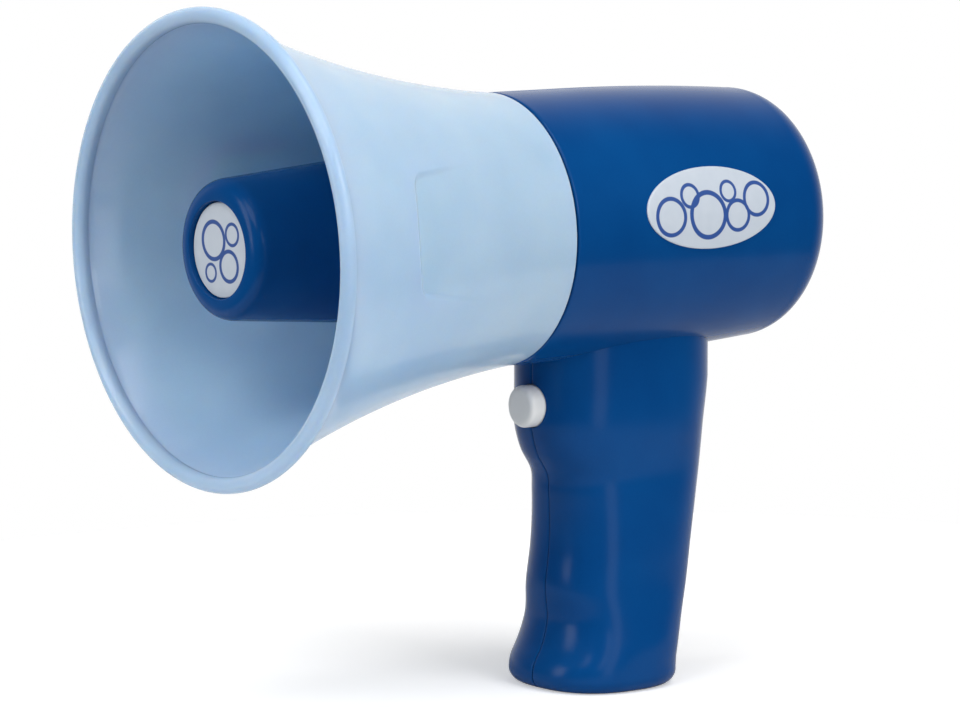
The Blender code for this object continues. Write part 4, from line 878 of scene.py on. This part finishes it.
def blank_material(name):
    """A new material, its node tree, its shader, and the piece's own coordinates in metres."""
    material = bpy.data.materials.new(name)
    material.use_nodes = True
    tree = material.node_tree
    return material, tree, tree.nodes["Principled BSDF"], add(tree, "ShaderNodeTexCoord").outputs["Object"]


def moulded_plastic(name, shade, flow_shade, smoothest, dullest, ripple, shine=0.5, glow=0.0):
    """Plastic as it leaves a polished mould.

    Slow flow marks about 30 mm across drift between two near shades, pigment grains of 0.6 mm break the
    flatness, the gloss varies over 12 mm, and a ripple of 2.5 mm, like orange peel, bends reflections by its
    height. The shine is how strongly the surface mirrors from straight in front, and the glow is the share of
    light that soaks in a fraction of a millimetre, blue the deepest, so that a thin wall lets some through.
    """
    material, tree, shader, where = blank_material(name)
    flow = add(tree, "ShaderNodeTexNoise", {"Vector": where, "Scale": 1 / (FLOW_MARK * MM), "Detail": 2.0})
    fine = {"Vector": where, "Scale": 1 / (PIGMENT_GRAIN * MM), "Detail": 1.0}
    grain = add(tree, "ShaderNodeTexNoise", fine)
    both = add(
        tree,
        "ShaderNodeMath",
        {0: grain.outputs["Fac"], 1: 0.25, 2: flow.outputs["Fac"]},
        operation="MULTIPLY_ADD",
    )
    share = add(tree, "ShaderNodeMapRange", {"Value": both.outputs[0], "From Min": 0.45, "From Max": 0.85})
    shades = {0: share.outputs[0], 6: linear(shade), 7: linear(flow_shade)}
    mix = add(tree, "ShaderNodeMix", shades, data_type="RGBA")
    wear = add(tree, "ShaderNodeTexNoise", {"Vector": where, "Scale": 1 / (GLOSS_DRIFT * MM), "Detail": 3.0})
    limits = {"To Min": smoothest, "To Max": dullest}
    gloss = add(tree, "ShaderNodeMapRange", {"Value": wear.outputs["Fac"], **limits})
    peel = add(tree, "ShaderNodeTexNoise", {"Vector": where, "Scale": 1 / (ORANGE_PEEL * MM), "Detail": 1.0})
    bump = add(tree, "ShaderNodeBump", {"Height": peel.outputs["Fac"], "Distance": ripple * MM})
    tree.links.new(mix.outputs[2], shader.inputs["Base Color"])
    tree.links.new(gloss.outputs[0], shader.inputs["Roughness"])
    tree.links.new(bump.outputs[0], shader.inputs["Normal"])
    shader.inputs["Specular IOR Level"].default_value = shine
    shader.inputs["Subsurface Weight"].default_value = glow
    shader.inputs["Subsurface Radius"].default_value = (0.55, 0.8, 1.0)
    shader.inputs["Subsurface Scale"].default_value = 3.0 * MM
    return material


def printed_label(name, plane, rings, border):
    """A satin vinyl sticker printed with plain bubble rings.

    A ring is drawn where the distance to its centre is within half a line of its radius. Places and sizes are
    in mm.
    """
    material, tree, shader, where = blank_material(name)
    fibre = add(tree, "ShaderNodeTexNoise", {"Vector": where, "Scale": 1 / (VINYL_FIBRE * MM), "Detail": 4.0})
    shades = {0: fibre.outputs["Fac"], 6: linear("BBC5D1"), 7: linear("C6CED8")}
    vinyl = add(tree, "ShaderNodeMix", shades, data_type="RGBA")
    flat = add(tree, "ShaderNodeVectorMath", {0: where, 1: plane}, operation="MULTIPLY").outputs[0]
    ink = None
    for centre, radius, line in rings:
        ends = {0: flat, 1: np.array(centre) * MM}
        apart = add(tree, "ShaderNodeVectorMath", ends, operation="DISTANCE").outputs["Value"]
        off = add(tree, "ShaderNodeMath", {0: apart, 1: radius * MM}, operation="SUBTRACT").outputs[0]
        size = add(tree, "ShaderNodeMath", {0: off}, operation="ABSOLUTE").outputs[0]
        clear, full = (line / 2 + PRINT_EDGE) * MM, (line / 2 - PRINT_EDGE) * MM
        near = {"Value": size, "From Min": clear, "From Max": full}
        drawn = add(tree, "ShaderNodeMapRange", near).outputs[0]
        if ink is None:
            ink = drawn
        else:
            ink = add(tree, "ShaderNodeMath", {0: ink, 1: drawn}, operation="MAXIMUM").outputs[0]
    inked = {0: ink, 6: vinyl.outputs[2], 7: linear(border)}
    print_mix = add(tree, "ShaderNodeMix", inked, data_type="RGBA")
    tree.links.new(print_mix.outputs[2], shader.inputs["Base Color"])
    gloss = add(tree, "ShaderNodeMapRange", {"Value": fibre.outputs["Fac"], "To Min": 0.34, "To Max": 0.46})
    tree.links.new(gloss.outputs[0], shader.inputs["Roughness"])
    return material


def drawn_metal(name, shade, worn_shade, smoothest, dullest):
    """Bare metal with a fine grain 0.3 mm wide that shifts its shade and gloss."""
    material, tree, shader, where = blank_material(name)
    grain = add(tree, "ShaderNodeTexNoise", {"Vector": where, "Scale": 1 / (METAL_GRAIN * MM), "Detail": 3.0})
    shades = {0: grain.outputs["Fac"], 6: linear(shade), 7: linear(worn_shade)}
    mix = add(tree, "ShaderNodeMix", shades, data_type="RGBA")
    limits = {"To Min": smoothest, "To Max": dullest}
    gloss = add(tree, "ShaderNodeMapRange", {"Value": grain.outputs["Fac"], **limits})
    shader.inputs["Metallic"].default_value = 1.0
    tree.links.new(mix.outputs[2], shader.inputs["Base Color"])
    tree.links.new(gloss.outputs[0], shader.inputs["Roughness"])
    return material


# Bubble rings on the labels: centre, radius, width of the line
SIDE_RINGS = (
    ((0, JOINT_Y + 36.6, AXIS_HEIGHT + 4.9), 5.6, 1.3),
    ((0, JOINT_Y + 44.9, AXIS_HEIGHT + 10.9), 3.4, 1.1),
    ((0, JOINT_Y + 51.7, AXIS_HEIGHT + 4.7), 6.9, 1.5),
    ((0, JOINT_Y + 60.8, AXIS_HEIGHT + 11.5), 3.0, 1.0),
    ((0, JOINT_Y + 63.9, AXIS_HEIGHT + 3.9), 4.6, 1.2),
    ((0, JOINT_Y + 72.2, AXIS_HEIGHT + 8.5), 5.0, 1.2),
)
CONE_RINGS = (
    ((-3.8, 0, AXIS_HEIGHT + 2.6), 5.6, 1.3),
    ((5.8, 0, AXIS_HEIGHT + 5.0), 3.2, 1.0),
    ((4.2, 0, AXIS_HEIGHT - 4.6), 4.5, 1.2),
    ((-5.2, 0, AXIS_HEIGHT - 7.2), 2.6, 0.9),
)
# ABS from a polished mould mirrors lamps clearly, and the pale one glows where light comes through its wall.
# Nylon, film and PVC are satin. Plated steel is bright, and its fine grain breaks up what it mirrors.
# A plastic has two shades, its least and most roughness and its ripple in mm, a metal all but the ripple.
MATERIALS = {
    "pale_blue_plastic": moulded_plastic(
        "polished moulded ABS, pale blue", "A8C2DC", "B1C9E1", 0.14, 0.2, 0.004, shine=0.4, glow=1.0
    ),
    "deep_blue_plastic": moulded_plastic(
        "moulded ABS, deep blue", "033F7B", "054683", 0.18, 0.24, 0.003, shine=0.1
    ),
    "white_plastic": moulded_plastic("moulded ABS, white", "E2E3E2", "E8E9E8", 0.3, 0.38, 0.004),
    "black_plastic": moulded_plastic("moulded ABS, black", "1C1E20", "232527", 0.42, 0.52, 0.006),
    "gear_nylon": moulded_plastic("moulded nylon, natural", "E9E1C8", "EFE8D4", 0.38, 0.48, 0.004),
    "cell_jacket": moulded_plastic("printed film on a dry cell", "34373C", "3E4147", 0.3, 0.4, 0.002),
    "red_wire": moulded_plastic("extruded PVC, red", "A8261F", "B6302A", 0.36, 0.46, 0.002),
    "yellow_wire": moulded_plastic("extruded PVC, yellow", "C9A11A", "D6B02A", 0.36, 0.46, 0.002),
    "black_wire": moulded_plastic("extruded PVC, black", "1E2022", "262829", 0.36, 0.46, 0.002),
    "steel": drawn_metal("zinc-plated steel", "B4B7BA", "C3C5C7", 0.24, 0.34),
    "spring_steel": drawn_metal("nickel-plated spring steel", "C2C3C4", "D0D0CE", 0.16, 0.26),
    "motor_metal": drawn_metal("pressed plated steel", "A4A6A8", "B2B4B5", 0.28, 0.38),
}
SIDE_PRINT = printed_label("printed satin vinyl, side", (0, 1, 1), SIDE_RINGS, "2A4E92")
CONE_PRINT = printed_label("printed satin vinyl, nose", (1, 0, 1), CONE_RINGS, "2A4E92")

# Pieces

PALE, DEEP, WHITE = "pale_blue_plastic", "deep_blue_plastic", "white_plastic"
STEEL, SPRING = "steel", "spring_steel"
piece("horn_bell", [horn_wall(), *bayonet_pegs()], "horn", PALE, MATERIALS[PALE], "horn")
piece("nose_cone_skin", [nose_cone()], "body", DEEP, MATERIALS[DEEP], "nose_cone")
piece("nose_label", [cone_label()], "body", "pale_label", CONE_PRINT, "cone_label")
piece("left_shell", body_shell(False), "body", DEEP, MATERIALS[DEEP], "left_body_shell")
piece("right_shell", body_shell(True), "body", DEEP, MATERIALS[DEEP], "right_body_shell")
piece("left_oval_label", [side_label(1)], "body", "pale_label", SIDE_PRINT, "left_side_label")
piece("right_oval_label", [side_label(-1)], "body", "pale_label", SIDE_PRINT, "right_side_label")
piece("push_button", [trigger_button()], "trigger", WHITE, MATERIALS[WHITE], "trigger_button")
SPRING_Y = (SPRING_FRONT - SPRING_EASE, SPRING_BACK + SPRING_EASE)
SPRING_BETWEEN = ("trigger", "body", *[(0, y * MM, BUTTON_HEIGHT * MM) for y in SPRING_Y])
piece("button_spring", trigger_spring(), SPRING_BETWEEN, SPRING, MATERIALS[SPRING], "trigger_spring")
piece("base_door", battery_door(), "door", DEEP, MATERIALS[DEEP], "battery_door")
piece("loop_wheel", bubble_wheel(), "wheel", WHITE, MATERIALS[WHITE], "bubble_wheel")
piece("trough", solution_trough(), "body", DEEP, MATERIALS[DEEP], "solution_trough")
for number, (y, height, _) in enumerate([*BARREL_SCREWS, *GRIP_SCREWS], 1):
    seat = np.array([-SCREW_SEAT - SCREW_SINK, y, height])
    screw = cross_screw(seat, -ALONG_X, *SCREW_SIZES)
    piece(f"body_screw_{number}", [screw], "body", STEEL, MATERIALS[STEEL], f"shell_screw_{number}")
screw = cross_screw(np.array([*DOOR_SCREW, DOOR_SCREW_HEIGHT]), -ALONG_Z, *DOOR_SCREW_SIZES)
piece("base_screw", [screw], "door", STEEL, MATERIALS[STEEL], "door_screw")

for part in frame["record"]["subparts"]:
    node = frame["nodes"][part["node"]]
    if not node.hide_render:
        node.data.materials.clear()
        node.data.materials.append(MATERIALS[part["material_slot"]])

# Floor, light and camera


def make_floor():
    """A round white table top that keeps the shadow and reads as white to the camera."""
    floor = build("floor", [turned(((0, 0), (TABLE_RADIUS, 0)), np.zeros(3), ALONG_Z, 96)])
    material, tree, shader, where = blank_material("white laminate table top")
    tooth = add(tree, "ShaderNodeTexNoise", {"Vector": where, "Scale": 1 / (TABLE_TOOTH * MM), "Detail": 2.0})
    shades = {0: tooth.outputs["Fac"], 6: linear("EDEDED"), 7: linear("F0F0F0")}
    mix = add(tree, "ShaderNodeMix", shades, data_type="RGBA")
    tree.links.new(mix.outputs[2], shader.inputs["Base Color"])
    shader.inputs["Roughness"].default_value = 0.9
    shader.inputs["Specular IOR Level"].default_value = 0.1
    shader.inputs["Emission Color"].default_value = (1, 1, 1, 1)
    path = add(tree, "ShaderNodeLightPath").outputs
    rays = {0: path["Is Camera Ray"], 1: path["Is Transmission Ray"]}
    seen = add(tree, "ShaderNodeMath", rays, operation="MAXIMUM")
    glow = add(tree, "ShaderNodeMath", {0: seen.outputs[0], 1: FLOOR_GLOW}, operation="MULTIPLY")
    tree.links.new(glow.outputs[0], shader.inputs["Emission Strength"])
    floor.data.materials.append(material)


def make_world():
    """A white room: full white to the camera and through what is clear, and softer as light.

    In reflections it has one pale wall and is dim opposite: the level follows the cosine between the
    direction of a reflection and that of the pale wall.
    """
    world = bpy.data.worlds.new("white room")
    bpy.context.scene.world = world
    world.use_nodes = True
    tree = world.node_tree
    path = add(tree, "ShaderNodeLightPath").outputs
    where = add(tree, "ShaderNodeTexCoord").outputs["Generated"]
    towards = {0: where, 1: PALE_WALL}
    cosine = add(tree, "ShaderNodeVectorMath", towards, operation="DOT_PRODUCT").outputs["Value"]
    fade = {"From Min": PALE_WALL_FADE[0], "From Max": PALE_WALL_FADE[1], "To Min": DIM_SIDE, "To Max": 1.0}
    mirror = add(
        tree, "ShaderNodeMapRange", {"Value": cosine, **fade}, interpolation_type="SMOOTHSTEP"
    ).outputs[0]
    light = add(tree, "ShaderNodeMix", {0: path["Is Glossy Ray"], 2: ROOM_LIGHT, 3: mirror}).outputs[0]
    rays = {0: path["Is Camera Ray"], 1: path["Is Transmission Ray"]}
    seen = add(tree, "ShaderNodeMath", rays, operation="MAXIMUM")
    level = add(tree, "ShaderNodeMix", {0: seen.outputs[0], 2: light, 3: 1.0}).outputs[0]
    background = tree.nodes["Background"]
    background.inputs["Color"].default_value = (1, 1, 1, 1)
    tree.links.new(level, background.inputs["Strength"])


def softbox(name, azimuth, elevation, distance, size, brightness):
    """A lamp that faces the object from this direction, in degrees, and at this distance, in metres.

    Its size is its width and height, and its power is its radiance times its area and pi.
    """
    side, up = math.radians(azimuth), math.radians(elevation)
    out = Vector((math.sin(side) * math.cos(up), -math.cos(side) * math.cos(up), math.sin(up)))
    lamp = bpy.data.lights.new(name, "AREA")
    lamp.shape = "RECTANGLE"
    lamp.size, lamp.size_y = size
    lamp.energy = brightness * math.pi * size[0] * size[1]
    made = bpy.data.objects.new(name, lamp)
    made.location = Vector(LIT_PLACE) + out * distance
    made.rotation_euler = out.to_track_quat("Z", "Y").to_euler()
    bpy.context.scene.collection.objects.link(made)


make_floor()
make_world()
# Lamps: azimuth, elevation, distance, width and height, radiance
softbox("overhead", 100, 72, 1.5, (1.0, 1.0), 3.2)
softbox("right_key", 100, 30, 1.5, (0.75, 0.75), 4.7)
softbox("front", 16, 44, 1.4, (0.8, 0.7), 3.8)
softbox("left_strip", -16, 17, 1.3, (0.42, 0.85), 4.6)
softbox("right_strip", 82, 2, 1.3, (0.4, 0.9), 2.0)
softbox("camera_side", 66, 20, 1.5, (0.22, 0.45), 3.4)

camera = bpy.data.objects.new("camera", bpy.data.cameras.new("camera"))
camera.data.sensor_width = SENSOR_WIDTH
camera.data.lens = FOCAL_LENGTH
camera.data.clip_end = 100.0
camera.location = CAMERA_PLACE
camera.rotation_euler = (math.radians(CAMERA_TILT), 0.0, math.radians(CAMERA_TURN))
bpy.context.scene.collection.objects.link(camera)
bpy.context.scene.camera = camera
bpy.context.scene.view_settings.view_transform = "Standard"
